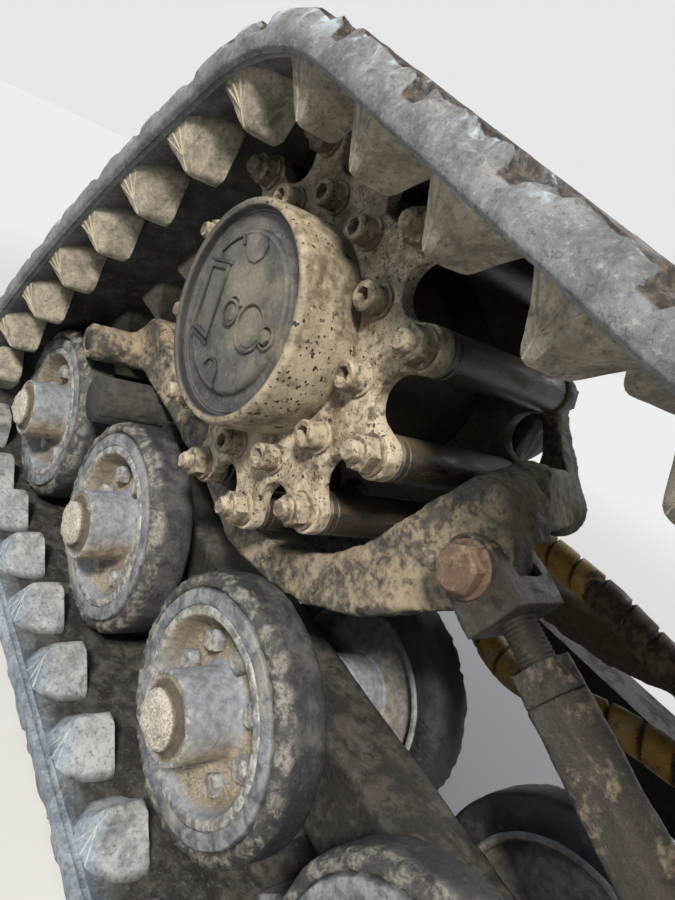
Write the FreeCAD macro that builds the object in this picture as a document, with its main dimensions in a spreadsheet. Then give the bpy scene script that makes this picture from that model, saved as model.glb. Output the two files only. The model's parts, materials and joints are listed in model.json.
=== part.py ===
import FreeCAD, Part
import math
import os

import Sketcher
from FreeCAD import Placement, Rotation, Vector

# Rubber track undercarriage of a compact loader, right-hand side, in millimetres.
# +X is forward, -Y is outboard (the side seen first) and +Z is up.
# Lengths along X are measured from the drive sprocket's axis, lengths along Y from the
# middle plane of the belt, and heights from the sprocket's axis, until the common datum
# puts the origin on the ground under the middle of the whole unit.

os.makedirs("parts", exist_ok=True)
doc = FreeCAD.newDocument("TrackUnit")
sheet = doc.addObject("Spreadsheet::Sheet", "sizes")

# Driving dimensions: alias, value
cells = (
    # belt loop
    ("linkPitch", 101.6),
    ("wrapRadius", 192.0),
    ("wheelSeat", 127.0),
    ("rearReach", 449.2),
    ("frontReach", 1621.3),
    ("idlerDrop", 329.8),
    ("beltWidth", 407.0),
    ("beltThick", 34.0),
    ("cordDepth", 6.5),
    ("rearBow", 15.0),
    ("lugLead", 11.5),
    ("midLugLead", -4.9),
    ("lugHeight", 41.0),
    ("lugFoot", 84.0),
    ("lugWaist", 34.0),
    ("lugWaistRise", 25.0),
    ("lugCrest", 12.0),
    ("sideLugInner", 136.5),
    ("sideLugOuter", 201.0),
    ("sideCrestInner", 141.0),
    ("sideCrestOuter", 176.0),
    ("midLugFoot", 66.0),
    ("midLugCrest", 12.0),
    ("midLugHalf", 53.5),
    ("midCrestHalf", 41.5),
    # wheels
    ("frontGap", 330.5),
    ("stationCount", 6),
    ("rideGap", 0.3),
    ("tyreInner", 96.0),
    ("tyreNear", 69.0),
    ("tyreWidth", 50.0),
    ("tyreShoulder", 5.0),
    ("rimWall", 7.0),
    ("discThick", 10.0),
    ("discInset", 16.0),
    ("hubRadius", 40.7),
    ("hubReach", 151.0),
    ("hubNear", 44.0),
    ("axleRadius", 22.0),
    # rail
    ("railHalf", 40.0),
    ("railDepth", 90.0),
    ("axleFit", 0.1),
    # sprocket
    ("pinCircle", 167.5),
    ("pinCount", 12),
    ("pinRadius", 9.0),
    ("rollerRadius", 19.0),
    ("rollerFit", 0.3),
    ("bossRadius", 19.0),
    ("webRadius", 160.0),
    ("scallopRadius", 23.3),
    ("scallopCircle", 161.8),
    ("outerPlateFace", 106.5),
    ("plateThick", 15.0),
    ("innerPlateNear", 63.5),
    ("drumRadius", 98.0),
    ("hubBore", 70.0),
    ("capRadius", 97.5),
    ("capReach", 165.7),
    ("capRim", 9.0),
    ("capSink", 7.0),
    ("pinReach", 132.0),
    ("pinHeadRadius", 15.0),
    ("pinHead", 12.0),
    # drive table
    ("armFace", 66.0),
    ("eyeThick", 27.0),
    ("armInner", 10.0),
    ("armClear", 198.0),
    ("armRound", 5.0),
    ("eyeRadius", 27.0),
    ("headAhead", 240.0),
    ("headDrop", 26.0),
    ("headRadius", 24.0),
    ("kneeAhead", 50.0),
    ("kneeDrop", 150.0),
    ("kneeRadius", 36.0),
    ("neckAhead", 140.0),
    ("neckDrop", 172.0),
    ("neckRadius", 23.0),
    ("tablePlateNear", 96.0),
    ("tablePlateThick", 25.0),
    ("tableRing", 130.0),
    ("toeAhead", 201.0),
    ("toeDrop", 40.0),
    ("toeRadius", 24.0),
    ("webLength", 70.0),
    ("webThick", 30.0),
    ("webDrop", 205.0),
    ("motorFit", 0.3),
    ("hubFit", 0.08),
    ("hubGap", 6.0),
    ("spindleReach", 60.0),
    ("motorSeat", 80.0),
    ("motorRadius", 104.0),
    ("motorReach", 250.0),
    ("motorTail", 40.0),
    ("motorTaper", 20.0),
    ("portRadius", 21.0),
    ("portLength", 60.0),
    ("pivotAhead", 74.2),
    ("pivotDrop", 182.0),
    ("pivotBoss", 24.0),
    ("pivotPin", 12.0),
    ("pivotBossReach", 124.5),
    ("pinFit", 0.1),
    # turnbuckle
    ("linkBoltX", 266.0),
    ("linkBoltDrop", 60.0),
    ("linkAnchorShare", 3.68),
    ("linkAnchorDrop", 197.0),
    ("linkMiddle", 52.5),
    ("forkWidth", 54.0),
    ("forkCheek", 13.0),
    ("forkRadius", 25.0),
    ("forkBolt", 11.0),
    ("linkRod", 13.0),
    ("linkFlats", 40.0),
    ("linkTrail", 73.7208),
    ("linkLead", 94.0),
    ("jamNut", 22.0),
    # suspension
    ("swingRearShare", 0.56),
    ("swingFrontShare", 5.5),
    ("swingDrop", 225.0),
    ("swingRadius", 30.0),
    ("swingReach", 126.5),
    ("saddleLength", 76.0),
    ("mountNear", 243.5),
    ("mountWidth", 60.0),
    ("mountDepth", 70.0),
    ("flangeThick", 14.0),
    ("flangeLength", 180.0),
    ("flangeDepth", 130.0),
    ("flangeHoleX", 130.0),
    ("flangeHoleZ", 90.0),
    ("flangeHole", 9.0),
    # hoses of the drive motor
    ("bracketAhead", 430.0),
    ("bracketThick", 12.0),
    ("bracketNear", 112.0),
    ("bracketTop", 60.0),
    ("bracketFoot", 40.0),
)
for row, (alias, value) in enumerate(cells, start=1):
    sheet.set(f"A{row}", str(value))
    sheet.setAlias(f"A{row}", alias)
doc.recompute()


class Size:
    # A length that knows both its number and the cell formula it came from.
    def __init__(self, text, value):
        self.text = text
        self.value = value

    def join(self, sign, other, value):
        text = other.text if isinstance(other, Size) else repr(float(other))
        return Size(f"({self.text} {sign} {text})", value)

    def __add__(self, other):
        return self.join("+", other, self.value + number(other))

    def __sub__(self, other):
        return self.join("-", other, self.value - number(other))

    def __mul__(self, other):
        return self.join("*", other, self.value * number(other))

    def __truediv__(self, other):
        return self.join("/", other, self.value / number(other))

    def __neg__(self):
        return Size(f"(0 - {self.text})", -self.value)


def number(length):
    return length.value if isinstance(length, Size) else float(length)


class Sizes:
    pass


s = Sizes()
for alias, value in cells:
    setattr(s, alias, Size(f"sizes.{alias}", float(sheet.get(alias))))
nought = Size("0", 0.0)

# Common datum: the sprocket axis seen from the part's origin
datumX = (s.rearReach - s.frontReach) / 2
datumY = (s.beltWidth / 2 - s.mountNear - s.mountWidth - s.flangeThick) / 2
datumZ = s.idlerDrop + s.wheelSeat + s.beltThick
datum = Vector(datumX.value, datumY.value, datumZ.value)

# Rollers share the rail evenly, and the suspension and the turnbuckle stand between them
stationPitch = (s.rearReach + s.frontReach - s.frontGap) / s.stationCount
swingRear = stationPitch * s.swingRearShare - s.rearReach
swingFront = stationPitch * s.swingFrontShare - s.rearReach
linkAnchor = stationPitch * s.linkAnchorShare - s.rearReach
pivotBack = s.rearReach - s.pivotAhead


def bind(item, **lengths):
    for name, length in lengths.items():
        item.setExpression(name.replace("_", "."), length.text)


def seat(item, x, y, z):
    # Places an object by lengths from the sprocket axis and the belt's middle plane.
    bind(item, Placement_Base_x=x + datumX, Placement_Base_y=y + datumY, Placement_Base_z=z + datumZ)


nodes = []


def keep(item, label):
    item.Label = label
    nodes.append(item)
    return item


def made(label, shape):
    # A form that neither a sketch nor a primitive gives, set from the sheet's values.
    item = doc.addObject("Part::Feature", label)
    item.Shape = shape
    item.Placement = Placement(datum, Rotation())
    return keep(item, label)


def plane(body, role):
    return next(f for f in body.Origin.OriginFeatures if f.Role == role)


def sketch_on(body, role, name):
    sketch = body.newObject("Sketcher::SketchObject", name)
    sketch.AttachmentSupport = (plane(body, role), [""])
    sketch.MapMode = "FlatFace"
    return sketch


def pin_point(sketch, geo, pos, x, y):
    # Ties one point of the sketch to two cell formulas.
    for kind, length in (("DistanceX", x), ("DistanceY", y)):
        index = sketch.addConstraint(Sketcher.Constraint(kind, -1, 1, geo, pos, length.value))
        sketch.setExpression(f"Constraints[{index}]", length.text)


def polygon(sketch, points):
    first = sketch.GeometryCount
    last = first + len(points) - 1
    for here, there in zip(points, points[1:] + points[:1]):
        start, end = (Vector(x.value, y.value, 0) for x, y in (here, there))
        sketch.addGeometry(Part.LineSegment(start, end), False)
    for geo in range(first, last + 1):
        after = first if geo == last else geo + 1
        sketch.addConstraint(Sketcher.Constraint("Coincident", geo, 2, after, 1))
    for geo, (x, y) in zip(range(first, last + 1), points):
        pin_point(sketch, geo, 1, x, y)


def circle(sketch, x, y, radius):
    geo = sketch.addGeometry(Part.Circle(Vector(x.value, y.value, 0), Vector(0, 0, 1), radius.value), False)
    pin_point(sketch, geo, 3, x, y)
    index = sketch.addConstraint(Sketcher.Constraint("Radius", geo, radius.value))
    sketch.setExpression(f"Constraints[{index}]", radius.text)


def new_body(label):
    return doc.addObject("PartDesign::Body", label)


def turned(label, points):
    # A body turned about its Y axis from a half profile of radius and axial place.
    body = new_body(label)
    sketch = sketch_on(body, "XY_Plane", label + "Profile")
    polygon(sketch, points)
    turn = body.newObject("PartDesign::Revolution", label + "Turn")
    turn.Profile = sketch
    turn.ReferenceAxis = (sketch, ["V_Axis"])
    turn.Angle = 360
    body.Tip = turn
    return body


def pad(body, sketch, length, name):
    # Pads an outline drawn on the XZ plane towards -Y.
    item = body.newObject("PartDesign::Pad", name)
    item.Profile = sketch
    bind(item, Length=length)
    body.Tip = item
    return item


def pocket(body, sketch, name):
    item = body.newObject("PartDesign::Pocket", name)
    item.Profile = sketch
    item.Type = 1
    item.Midplane = True
    body.Tip = item
    return item


def ring_pattern(body, feature, sketch, name):
    item = body.newObject("PartDesign::PolarPattern", name)
    item.Originals = [feature]
    item.Axis = (sketch, ["N_Axis"])
    item.Angle = 360
    bind(item, Occurrences=s.pinCount)
    body.Tip = item
    return item


def rod(label, radius, length, x, y, z):
    # A round bar along +Y from the given start.
    item = doc.addObject("Part::Cylinder", label)
    bind(item, Radius=radius, Height=length)
    item.Placement = Placement(Vector(), Rotation(Vector(1, 0, 0), -90))
    seat(item, x, y, z)
    return item


def block(label, length, width, height, x, y, z):
    item = doc.addObject("Part::Box", label)
    bind(item, Length=length, Width=width, Height=height)
    seat(item, x, y, z)
    return item


def fuse(label, *shapes):
    item = doc.addObject("Part::MultiFuse", label)
    item.Shapes = list(shapes)
    return item


def cut(label, base, tool):
    item = doc.addObject("Part::Cut", label)
    item.Base = base
    item.Tool = tool
    return item


# Belt path: arcs round sprocket and idlers, joined below and in front by straight runs
# and behind by a shallow bow that touches both arcs.
# Each arc row: centre x, centre z, radius of the belt's inner face
sprocketArc = (0.0, 0.0, s.wrapRadius.value)
rearArc = (-s.rearReach.value, -s.idlerDrop.value, s.wheelSeat.value)
frontArc = (s.frontReach.value, -s.idlerDrop.value, s.wheelSeat.value)


def bow_arc():
    # The large circle that holds the sprocket's and the rear idler's circles inside it.
    dx, dz = rearArc[0] - sprocketArc[0], rearArc[1] - sprocketArc[1]
    span = math.hypot(dx, dz)
    radius = span ** 2 / (8 * s.rearBow.value)
    a, b = radius - sprocketArc[2], radius - rearArc[2]
    along = (a * a - b * b + span * span) / (2 * span)
    aside = math.sqrt(a * a - along * along)
    ux, uz = dx / span, dz / span
    return (ux * along - uz * aside, uz * along + ux * aside, radius)


def turn_between(outer, inner):
    return math.atan2(inner[1] - outer[1], inner[0] - outer[0])


def tangent_turn(here, there):
    # Direction of the outward normal on the outer tangent from one arc to the next,
    # for a loop that runs anticlockwise in the XZ plane seen from outboard.
    dx, dz = there[0] - here[0], there[1] - here[1]
    return math.atan2(dz, dx) - math.acos((here[2] - there[2]) / math.hypot(dx, dz))


def around(arc, turn, lift):
    cx, cz, radius = arc
    return Vector(cx + (radius + lift) * math.cos(turn), 0, cz + (radius + lift) * math.sin(turn))


def loop_pieces():
    # Pieces of the belt's inner face in order, the sprocket's arc first.
    # Columns: arc, direction of the normal at the start, sweep, length, chord ends or None
    bow = bow_arc()
    entry = tangent_turn(frontArc, sprocketArc)
    top, tail = turn_between(bow, sprocketArc), turn_between(bow, rearArc)
    below = tangent_turn(rearArc, frontArc)
    turns = [entry, top, tail, below, entry]
    pieces = []
    for arc, start, stop in zip((sprocketArc, bow, rearArc, frontArc), turns, turns[1:]):
        sweep = (stop - start) % (2 * math.pi)
        pieces.append((arc, start, sweep, arc[2] * sweep, None))
        if arc in (rearArc, frontArc):
            after = frontArc if arc is rearArc else sprocketArc
            ends = (around(arc, stop, 0), around(after, stop, 0))
            pieces.append((arc, stop, 0.0, (ends[1] - ends[0]).Length, ends))
    return pieces


pieces = loop_pieces()


def run(piece):
    # Length of a piece along the belt's cords, which keep their length round a bend.
    return piece[3] + s.cordDepth.value * piece[2]


loopLength = sum(run(piece) for piece in pieces)
lowest = sum(run(piece) for piece in pieces[:3])
linkCount = round(loopLength / s.linkPitch.value)
spacing = loopLength / linkCount


def station(travel):
    # Point on the inner face and outward direction there, at a distance along the loop.
    travel %= loopLength
    for piece in pieces:
        arc, turn, sweep, length, ends = piece
        share = travel / run(piece)
        if share <= 1:
            if ends is None:
                return around(arc, turn + sweep * share, 0), turn + sweep * share
            return ends[0] + (ends[1] - ends[0]) * share, turn
        travel -= run(piece)
    return station(0)


def lug_travels(lead):
    # Places of one row's lugs along the loop, from a lead ahead of its lowest point.
    return [(lowest - lead + link * spacing) % loopLength for link in range(linkCount)]


def phase_between_lugs(lead):
    # Direction of the gap between a row's first two lugs on the sprocket.
    turns = [station(travel)[1] for travel in lug_travels(lead) if travel < run(pieces[0])]
    first, second = sorted(turns)[:2]
    return math.degrees(first + second) / 2


pinPhase = phase_between_lugs(s.midLugLead.value)


def loop_face(lift):
    edges = []
    for arc, turn, sweep, length, ends in pieces:
        if ends is None:
            three = [around(arc, turn + sweep * share, lift) for share in (0, 0.5, 1)]
            edges.append(Part.Arc(*three).toShape())
        else:
            out = Vector(math.cos(turn), 0, math.sin(turn)) * lift
            edges.append(Part.LineSegment(ends[0] + out, ends[1] + out).toShape())
    return Part.Face(Part.Wire(edges))


def stack(rings):
    # A closed ruled form through rectangles given by four corners each.
    walls = [Part.Face(Part.makePolygon(ring + ring[:1])) for ring in (rings[0], rings[-1])]
    for lower, upper in zip(rings, rings[1:]):
        for i in range(4):
            j = (i + 1) % 4
            walls.append(Part.Face(Part.makePolygon([lower[i], lower[j], upper[j], upper[i], lower[i]])))
    solid = Part.Solid(Part.Shell(walls))
    return solid if solid.Volume > 0 else solid.reversed()


def lug_on_belt(travel, levels):
    # A lug standing inwards from the belt. Each level: rise, length, side, other side
    point, turn = station(travel)
    out = Vector(math.cos(turn), 0, math.sin(turn))
    along = Vector(-math.sin(turn), 0, math.cos(turn))
    rings = []
    for rise, length, near, far in levels:
        base = point - out * rise
        rings.append([base + along * (length / 2 * a) + Vector(0, y, 0)
                      for a, y in ((-1, near), (1, near), (1, far), (-1, far))])
    return stack(rings)


def build_track():
    half = s.beltWidth.value / 2
    ring = loop_face(s.beltThick.value).cut(loop_face(0))
    belt = ring.extrude(Vector(0, s.beltWidth.value, 0))
    belt.translate(Vector(0, -half, 0))
    waist, rise, height = s.lugWaist.value, s.lugWaistRise.value, s.lugHeight.value
    near, far = s.sideLugInner.value, s.sideLugOuter.value
    nearTop, farTop = s.sideCrestInner.value, s.sideCrestOuter.value
    share = rise / height
    nearWaist, farWaist = near + (nearTop - near) * share, far + (farTop - far) * share
    mid, midTop = s.midLugHalf.value, s.midCrestHalf.value
    sunk = -s.beltThick.value / 4
    side = (
        (sunk, s.lugFoot.value, near, far), (0, s.lugFoot.value, near, far),
        (rise, waist, nearWaist, farWaist), (height, s.lugCrest.value, nearTop, farTop),
    )
    middle = (
        (sunk, s.midLugFoot.value, -mid, mid), (0, s.midLugFoot.value, -mid, mid),
        (height, s.midLugCrest.value, -midTop, midTop),
    )
    other = tuple((level, length, -a, -b) for level, length, a, b in side)
    # Lug rows: lead ahead of the lowest point, levels
    rows = ((s.lugLead.value, other), (s.midLugLead.value, middle), (s.lugLead.value, side))
    solids = []
    for lead, levels in rows:
        solids += [lug_on_belt(travel, levels) for travel in lug_travels(lead)]
    track = belt.fuse(solids)
    return track.Solids[0] if len(track.Solids) == 1 else track


made("track", build_track())


# Wheel stations: name, place along X
stations = [("rear_idler", -s.rearReach)]
for k in range(int(s.stationCount.value)):
    stations.append((f"roller_{k + 1}", stationPitch * (k + 1) - s.rearReach))
stations.append(("front_idler", s.frontReach))


def tyre_profile(near, far):
    tread = s.wheelSeat - s.rideGap
    c = s.tyreShoulder
    side = c if far.value > near.value else -c
    return [
        (s.tyreInner, near), (tread - c, near), (tread, near + side),
        (tread, far - side), (tread - c, far), (s.tyreInner, far),
    ]


def axle_profile():
    # Half profile of the shaft with both dished wheels and their hubs.
    near, far = s.tyreNear, s.tyreNear + s.tyreWidth
    rim = s.tyreInner - s.rimWall
    disc = far - s.discInset
    outboard = [
        (s.hubRadius, s.hubNear), (s.hubRadius, disc - s.discThick), (rim, disc - s.discThick),
        (rim, near), (s.tyreInner, near), (s.tyreInner, far), (rim, far),
        (rim, disc), (s.hubRadius, disc), (s.hubRadius, s.hubReach),
    ]
    upper = [(nought, s.hubReach)] + [(r, y) for r, y in reversed(outboard)] + [(s.axleRadius, s.hubNear)]
    lower = [(r, -y) for r, y in reversed(upper)]
    return upper + lower


for name, x in stations:
    tyres = []
    for side, sign in (("near", 1), ("far", -1)):
        near = s.tyreNear if sign > 0 else -s.tyreNear
        far = near + s.tyreWidth if sign > 0 else near - s.tyreWidth
        tyre = turned(f"{name}_{side}", tyre_profile(near, far))
        seat(tyre, x, nought, -s.idlerDrop)
        tyres.append(tyre)
    pair = doc.addObject("Part::Compound", f"{name}_tyres")
    pair.Links = tyres
    keep(pair, f"{name}_tyres")
    axle = turned(f"{name}_axle", axle_profile())
    seat(axle, x, nought, -s.idlerDrop)
    keep(axle, f"{name}_axle")

# Main rail: a beam with rounded ends that every axle passes through
rail = new_body("rail")
side = sketch_on(rail, "XZ_Plane", "railSide")
half = s.railDepth / 2
polygon(side, [(-s.rearReach, half), (-s.rearReach, -half), (s.frontReach, -half), (s.frontReach, half)])
pad(rail, side, s.railHalf * 2, "railPad")
for name, x in (("rear", -s.rearReach), ("front", s.frontReach)):
    nose = sketch_on(rail, "XZ_Plane", f"{name}Nose")
    circle(nose, x, nought, half)
    pad(rail, nose, s.railHalf * 2, f"{name}NosePad")
holes = sketch_on(rail, "XZ_Plane", "axleHoles")
for name, x in stations:
    circle(holes, x, nought, s.axleRadius + s.axleFit)
pocket(rail, holes, "axleBores")
seat(rail, nought, s.railHalf, -s.idlerDrop)
keep(rail, "main_rail")


# Drive sprocket: two scalloped plates, a drum, a hub cap and twelve rollers on pins
def star_plate(label, bore, face):
    # A disc with a round boss at each pin and a scallop between bosses.
    body = new_body(label)
    web = sketch_on(body, "XZ_Plane", label + "Web")
    circle(web, nought, nought, s.webRadius)
    pad(body, web, s.plateThick, label + "WebPad")
    boss = sketch_on(body, "XZ_Plane", label + "Boss")
    circle(boss, s.pinCircle, nought, s.bossRadius)
    bossPad = pad(body, boss, s.plateThick, label + "BossPad")
    ring_pattern(body, bossPad, boss, label + "Bosses")
    hole = sketch_on(body, "XZ_Plane", label + "Hole")
    circle(hole, s.pinCircle, nought, s.pinRadius + s.pinFit)
    ring_pattern(body, pocket(body, hole, label + "HoleCut"), hole, label + "Holes")
    dip = sketch_on(body, "XZ_Plane", label + "Dip")
    turn = math.pi / s.pinCount.value
    circle(dip, s.scallopCircle * math.cos(turn), s.scallopCircle * math.sin(turn), s.scallopRadius)
    ring_pattern(body, pocket(body, dip, label + "DipCut"), dip, label + "Dips")
    centre = sketch_on(body, "XZ_Plane", label + "Centre")
    circle(centre, nought, nought, bore)
    pocket(body, centre, label + "Bore")
    body.Placement = Placement(Vector(), Rotation(Vector(0, 1, 0), -pinPhase))
    seat(body, nought, face, nought)
    return keep(body, label)


outerNear = -s.outerPlateFace + s.plateThick
innerFar = s.innerPlateNear + s.plateThick
star_plate("sprocket_outer_plate", s.hubBore, outerNear)
star_plate("sprocket_inner_plate", s.hubBore, innerFar)

drumLength = s.innerPlateNear - outerNear
drum = turned("drum", [
    (s.hubBore, outerNear), (s.drumRadius, outerNear),
    (s.drumRadius, s.innerPlateNear), (s.hubBore, s.innerPlateNear),
])
seat(drum, nought, nought, nought)
keep(drum, "sprocket_drum")

face = -s.outerPlateFace
cap = turned("cap", [
    (nought, face), (s.capRadius, face), (s.capRadius, -s.capReach), (s.capRadius - s.capRim, -s.capReach),
    (s.capRadius - s.capRim, s.capSink - s.capReach), (nought, s.capSink - s.capReach),
])
seat(cap, nought, nought, nought)
keep(cap, "sprocket_hub_cap")


def pin_places():
    step = 360 / s.pinCount.value
    for k in range(int(s.pinCount.value)):
        turn = math.radians(pinPhase + k * step)
        yield s.pinCircle.value * math.cos(turn), s.pinCircle.value * math.sin(turn)


def bar(radius, near, far, x, z):
    return Part.makeCylinder(radius, far - near, Vector(x, near, z), Vector(0, 1, 0))


def build_rollers():
    near = outerNear.value + s.rollerFit.value
    far = s.innerPlateNear.value - s.rollerFit.value
    inner = s.pinRadius.value + s.rollerFit.value
    rollers = []
    for x, z in pin_places():
        rollers.append(bar(s.rollerRadius.value, near, far, x, z).cut(bar(inner, near, far, x, z)))
    return Part.makeCompound(rollers)


def build_pins():
    pins = []
    head = innerFar.value
    for x, z in pin_places():
        shank = bar(s.pinRadius.value, -s.pinReach.value, head, x, z)
        pins.append(shank.fuse(bar(s.pinHeadRadius.value, head, head + s.pinHead.value, x, z)))
    return Part.makeCompound(pins)


made("sprocket_rollers", build_rollers())
made("sprocket_pins", build_pins())


# Drive table: the cast saddle under the sprocket that carries the drive motor
def bar_outline(a, b):
    # Face round two circles, each of place ahead, height and radius, and their outer tangents.
    way = math.atan2(b[1] - a[1], b[0] - a[0])
    lean = math.acos((a[2] - b[2]) / math.hypot(b[0] - a[0], b[1] - a[1]))

    def rim(circle, turn):
        return Vector(circle[0] + circle[2] * math.cos(turn), 0, circle[1] + circle[2] * math.sin(turn))

    low, high = way - lean, way + lean
    return Part.Face(Part.Wire([
        Part.LineSegment(rim(a, low), rim(b, low)).toShape(),
        Part.Arc(rim(b, low), rim(b, way), rim(b, high)).toShape(),
        Part.LineSegment(rim(b, high), rim(a, high)).toShape(),
        Part.Arc(rim(a, high), rim(a, way + math.pi), rim(a, low)).toShape(),
    ]))


def slab(outline, near, far):
    return outline.translated(Vector(0, near, 0)).extrude(Vector(0, far - near, 0))


def arm_chain():
    # Circles that the arm's outline rolls round, from the rear pivot to the front head.
    clear = s.armClear.value
    chain = [
        (-pivotBack.value, -s.pivotDrop.value, s.pivotBoss.value),
        (-(pivotBack - s.kneeAhead).value, -s.kneeDrop.value, s.kneeRadius.value),
        (-(pivotBack - s.neckAhead).value, -s.neckDrop.value, s.neckRadius.value),
    ]
    # The saddle's rows: direction from the sprocket's axis in degrees, share of depth to clearance
    for degrees, share in ((-116, 0.17), (-90, 0.18), (-72, 0.19), (-56, 0.23), (-42, 0.28), (-27, 0.34)):
        turn, radius = math.radians(degrees), clear * share / 2
        chain.append(((clear + radius) * math.cos(turn), (clear + radius) * math.sin(turn), radius))
    chain.append((s.linkBoltX.value, -s.linkBoltDrop.value, s.eyeRadius.value))
    chain.append((s.headAhead.value, -s.headDrop.value, s.headRadius.value))
    return chain


def build_arm():
    chain = arm_chain()
    faces = [bar_outline(a, b) for a, b in zip(chain, chain[1:])] + [bar_outline(chain[-3], chain[-1])]
    outline = faces[0].fuse(faces[1:]).removeSplitter().Faces[0]
    outline = outline.cut(Part.Face(Part.Wire(Part.Circle(Vector(), Vector(0, 1, 0), s.armClear.value).toShape())))
    arm = slab(outline.Faces[0], -s.armFace.value, -s.armInner.value)
    outboard = [edge for edge in arm.Edges if abs(edge.BoundBox.YMax + s.armFace.value) < 1e-3]
    return arm.makeFillet(s.armRound.value, outboard)


def fork_room(near, far):
    # Space round the cheek of the turnbuckle's fork.
    start, end, way, span = link_frame()
    reach, radius = s.forkRadius.value * 4, s.forkRadius.value + 6
    ahead = start + way * reach
    return slab(bar_outline((start.x, start.z, radius), (ahead.x, ahead.z, radius)), near, far)


def build_bridge():
    # The head's beam, which runs inboard to the motor's plate and slopes back on its way.
    middle = s.tablePlateNear.value + s.tablePlateThick.value / 2
    head, drop, clear = s.headAhead.value, s.headDrop.value, s.armClear.value
    toe, toeDrop = s.toeAhead.value, s.toeDrop.value
    # Each section: distance inboard, then corners ahead and up, rear foot first
    sections = (
        (4 - s.armFace.value, ((head - 28, -drop - 36), (head - 19, 12 - drop), (head, 22 - drop), (head + 40, -drop - 14))),
        (10, ((clear + 2, -drop - 22), (clear + 6, 4), (head - 8, 8), (head + 16, -drop - 10))),
        (middle, ((toe - 26, -toeDrop - 44), (clear - 1, 0), (toe, 30 - toeDrop), (toe + 23, 1 - toeDrop))),
    )
    wires = []
    for y, corners in sections:
        ring = [Vector(x, y, z) for x, z in corners]
        wires.append(Part.makePolygon(ring + ring[:1]))
    return Part.makeLoft(wires, True, True)


def build_plate():
    # The motor's plate: a ring with a toe under the bridge and a tongue down to the web.
    near, far = s.tablePlateNear.value, s.tablePlateNear.value + s.tablePlateThick.value
    ring = (0, 0, s.tableRing.value)
    half = s.webThick.value / 2
    toe = bar_outline(ring, (s.toeAhead.value, -s.toeDrop.value, s.toeRadius.value))
    tongue = bar_outline(ring, (0, -s.webDrop.value - half, half))
    room = s.toeAhead.value - s.tableRing.value
    window = [Vector(s.tableRing.value - x * room, 0, z * room) for x, z in ((-0.18, 0.39), (-0.11, -0.45), (-0.55, -0.18))]
    opening = Part.Face(Part.makePolygon(window + window[:1]))
    plate = slab(toe, near, far).fuse(slab(tongue, near, far))
    return plate.cut([
        bar(s.motorSeat.value + s.motorFit.value, near - 1, far + 1, 0, 0),
        slab(opening, near - 1, far + 1),
    ])


def build_table():
    far = s.tablePlateNear.value + s.tablePlateThick.value
    boltX, boltZ = s.linkBoltX.value, -s.linkBoltDrop.value
    pivotX, pivotZ = -pivotBack.value, -s.pivotDrop.value
    eyeFar = s.eyeThick.value - s.armFace.value
    web = Part.makeBox(s.webLength.value, far + s.armInner.value + 10, s.webThick.value,
                       Vector(-s.webLength.value / 2, -s.armInner.value - 10, -s.webDrop.value - s.webThick.value))
    arm = build_arm().cut(fork_room(eyeFar, 0))
    bridge = build_bridge().cut(fork_room(eyeFar, eyeFar + s.forkCheek.value + 7))
    boss = bar(s.pivotBoss.value, -s.pivotBossReach.value, -s.armInner.value, pivotX, pivotZ)
    return arm.fuse([bridge, build_plate(), web, boss]).cut([
        bar(s.pivotPin.value + s.pinFit.value, -s.pivotBossReach.value - 1, 0, pivotX, pivotZ),
        bar(s.forkBolt.value + s.pinFit.value, -s.armFace.value - 1, 0, boltX, boltZ),
    ])


def link_frame():
    # The turnbuckle's line: both bolts' places, direction and span.
    start = Vector(s.linkBoltX.value, -s.linkMiddle.value, -s.linkBoltDrop.value)
    end = Vector(linkAnchor.value, -s.linkMiddle.value, -s.linkAnchorDrop.value)
    way = end - start
    return start, end, way.normalize(), (end - start).Length


made("drive_table", build_table())

# Hoses: points ahead, inboard and up, from the motor's port to the bracket, and radius
hoseRoutes = (
    (((112, 150, -78), (180, 142, -86), (276, 138, -84), (350, 138, -96), (430, 138, -90)), 16),
    (((112, 185, -99), (190, 178, -136), (283, 176, -128), (345, 176, -106), (430, 176, -92)), 18),
    (((98, 145, -120), (140, 145, -168), (190, 144, -202), (235, 142, -210), (285, 140, -190), (345, 140, -164),
      (430, 140, -150)), 16),
)


def hose(route, radius):
    # A round hose along straight runs that tangent arcs join, trimmed flush with the bracket.
    points = [Vector(*point) for point in route]
    face = s.bracketAhead.value
    points[-1].x = face + radius
    edges = []
    last = points[0]
    for before, here, after in zip(points, points[1:], points[2:]):
        inward, onward = (here - before).normalize(), (after - here).normalize()
        half = inward.getAngle(onward) / 2
        reach = 0.45 * min((here - before).Length, (after - here).Length)
        bend = reach / math.tan(half)
        middle = here + (onward - inward).normalize() * (bend / math.cos(half) - bend)
        start, end = here - inward * reach, here + onward * reach
        edges.append(Part.LineSegment(last, start).toShape())
        edges.append(Part.Arc(start, middle, end).toShape())
        last = end
    edges.append(Part.LineSegment(last, points[-1]).toShape())
    rim = Part.Wire(Part.Circle(points[0], points[1] - points[0], radius).toShape())
    tube = Part.Wire(edges).makePipeShell([rim], True, True)
    side = 4 * radius
    corner = Vector(face, points[-1].y - side / 2, points[-1].z - side / 2)
    return tube.cut(Part.makeBox(side, side, side, corner))


def build_ports():
    ports = []
    for route, radius in hoseRoutes:
        start, after = Vector(*route[0]), Vector(*route[1])
        way = (after - start).normalize()
        length = s.portLength.value
        ports.append(Part.makeCylinder(s.portRadius.value, length, start - way * length, way))
    return ports[0].fuse(ports[1:])


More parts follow.
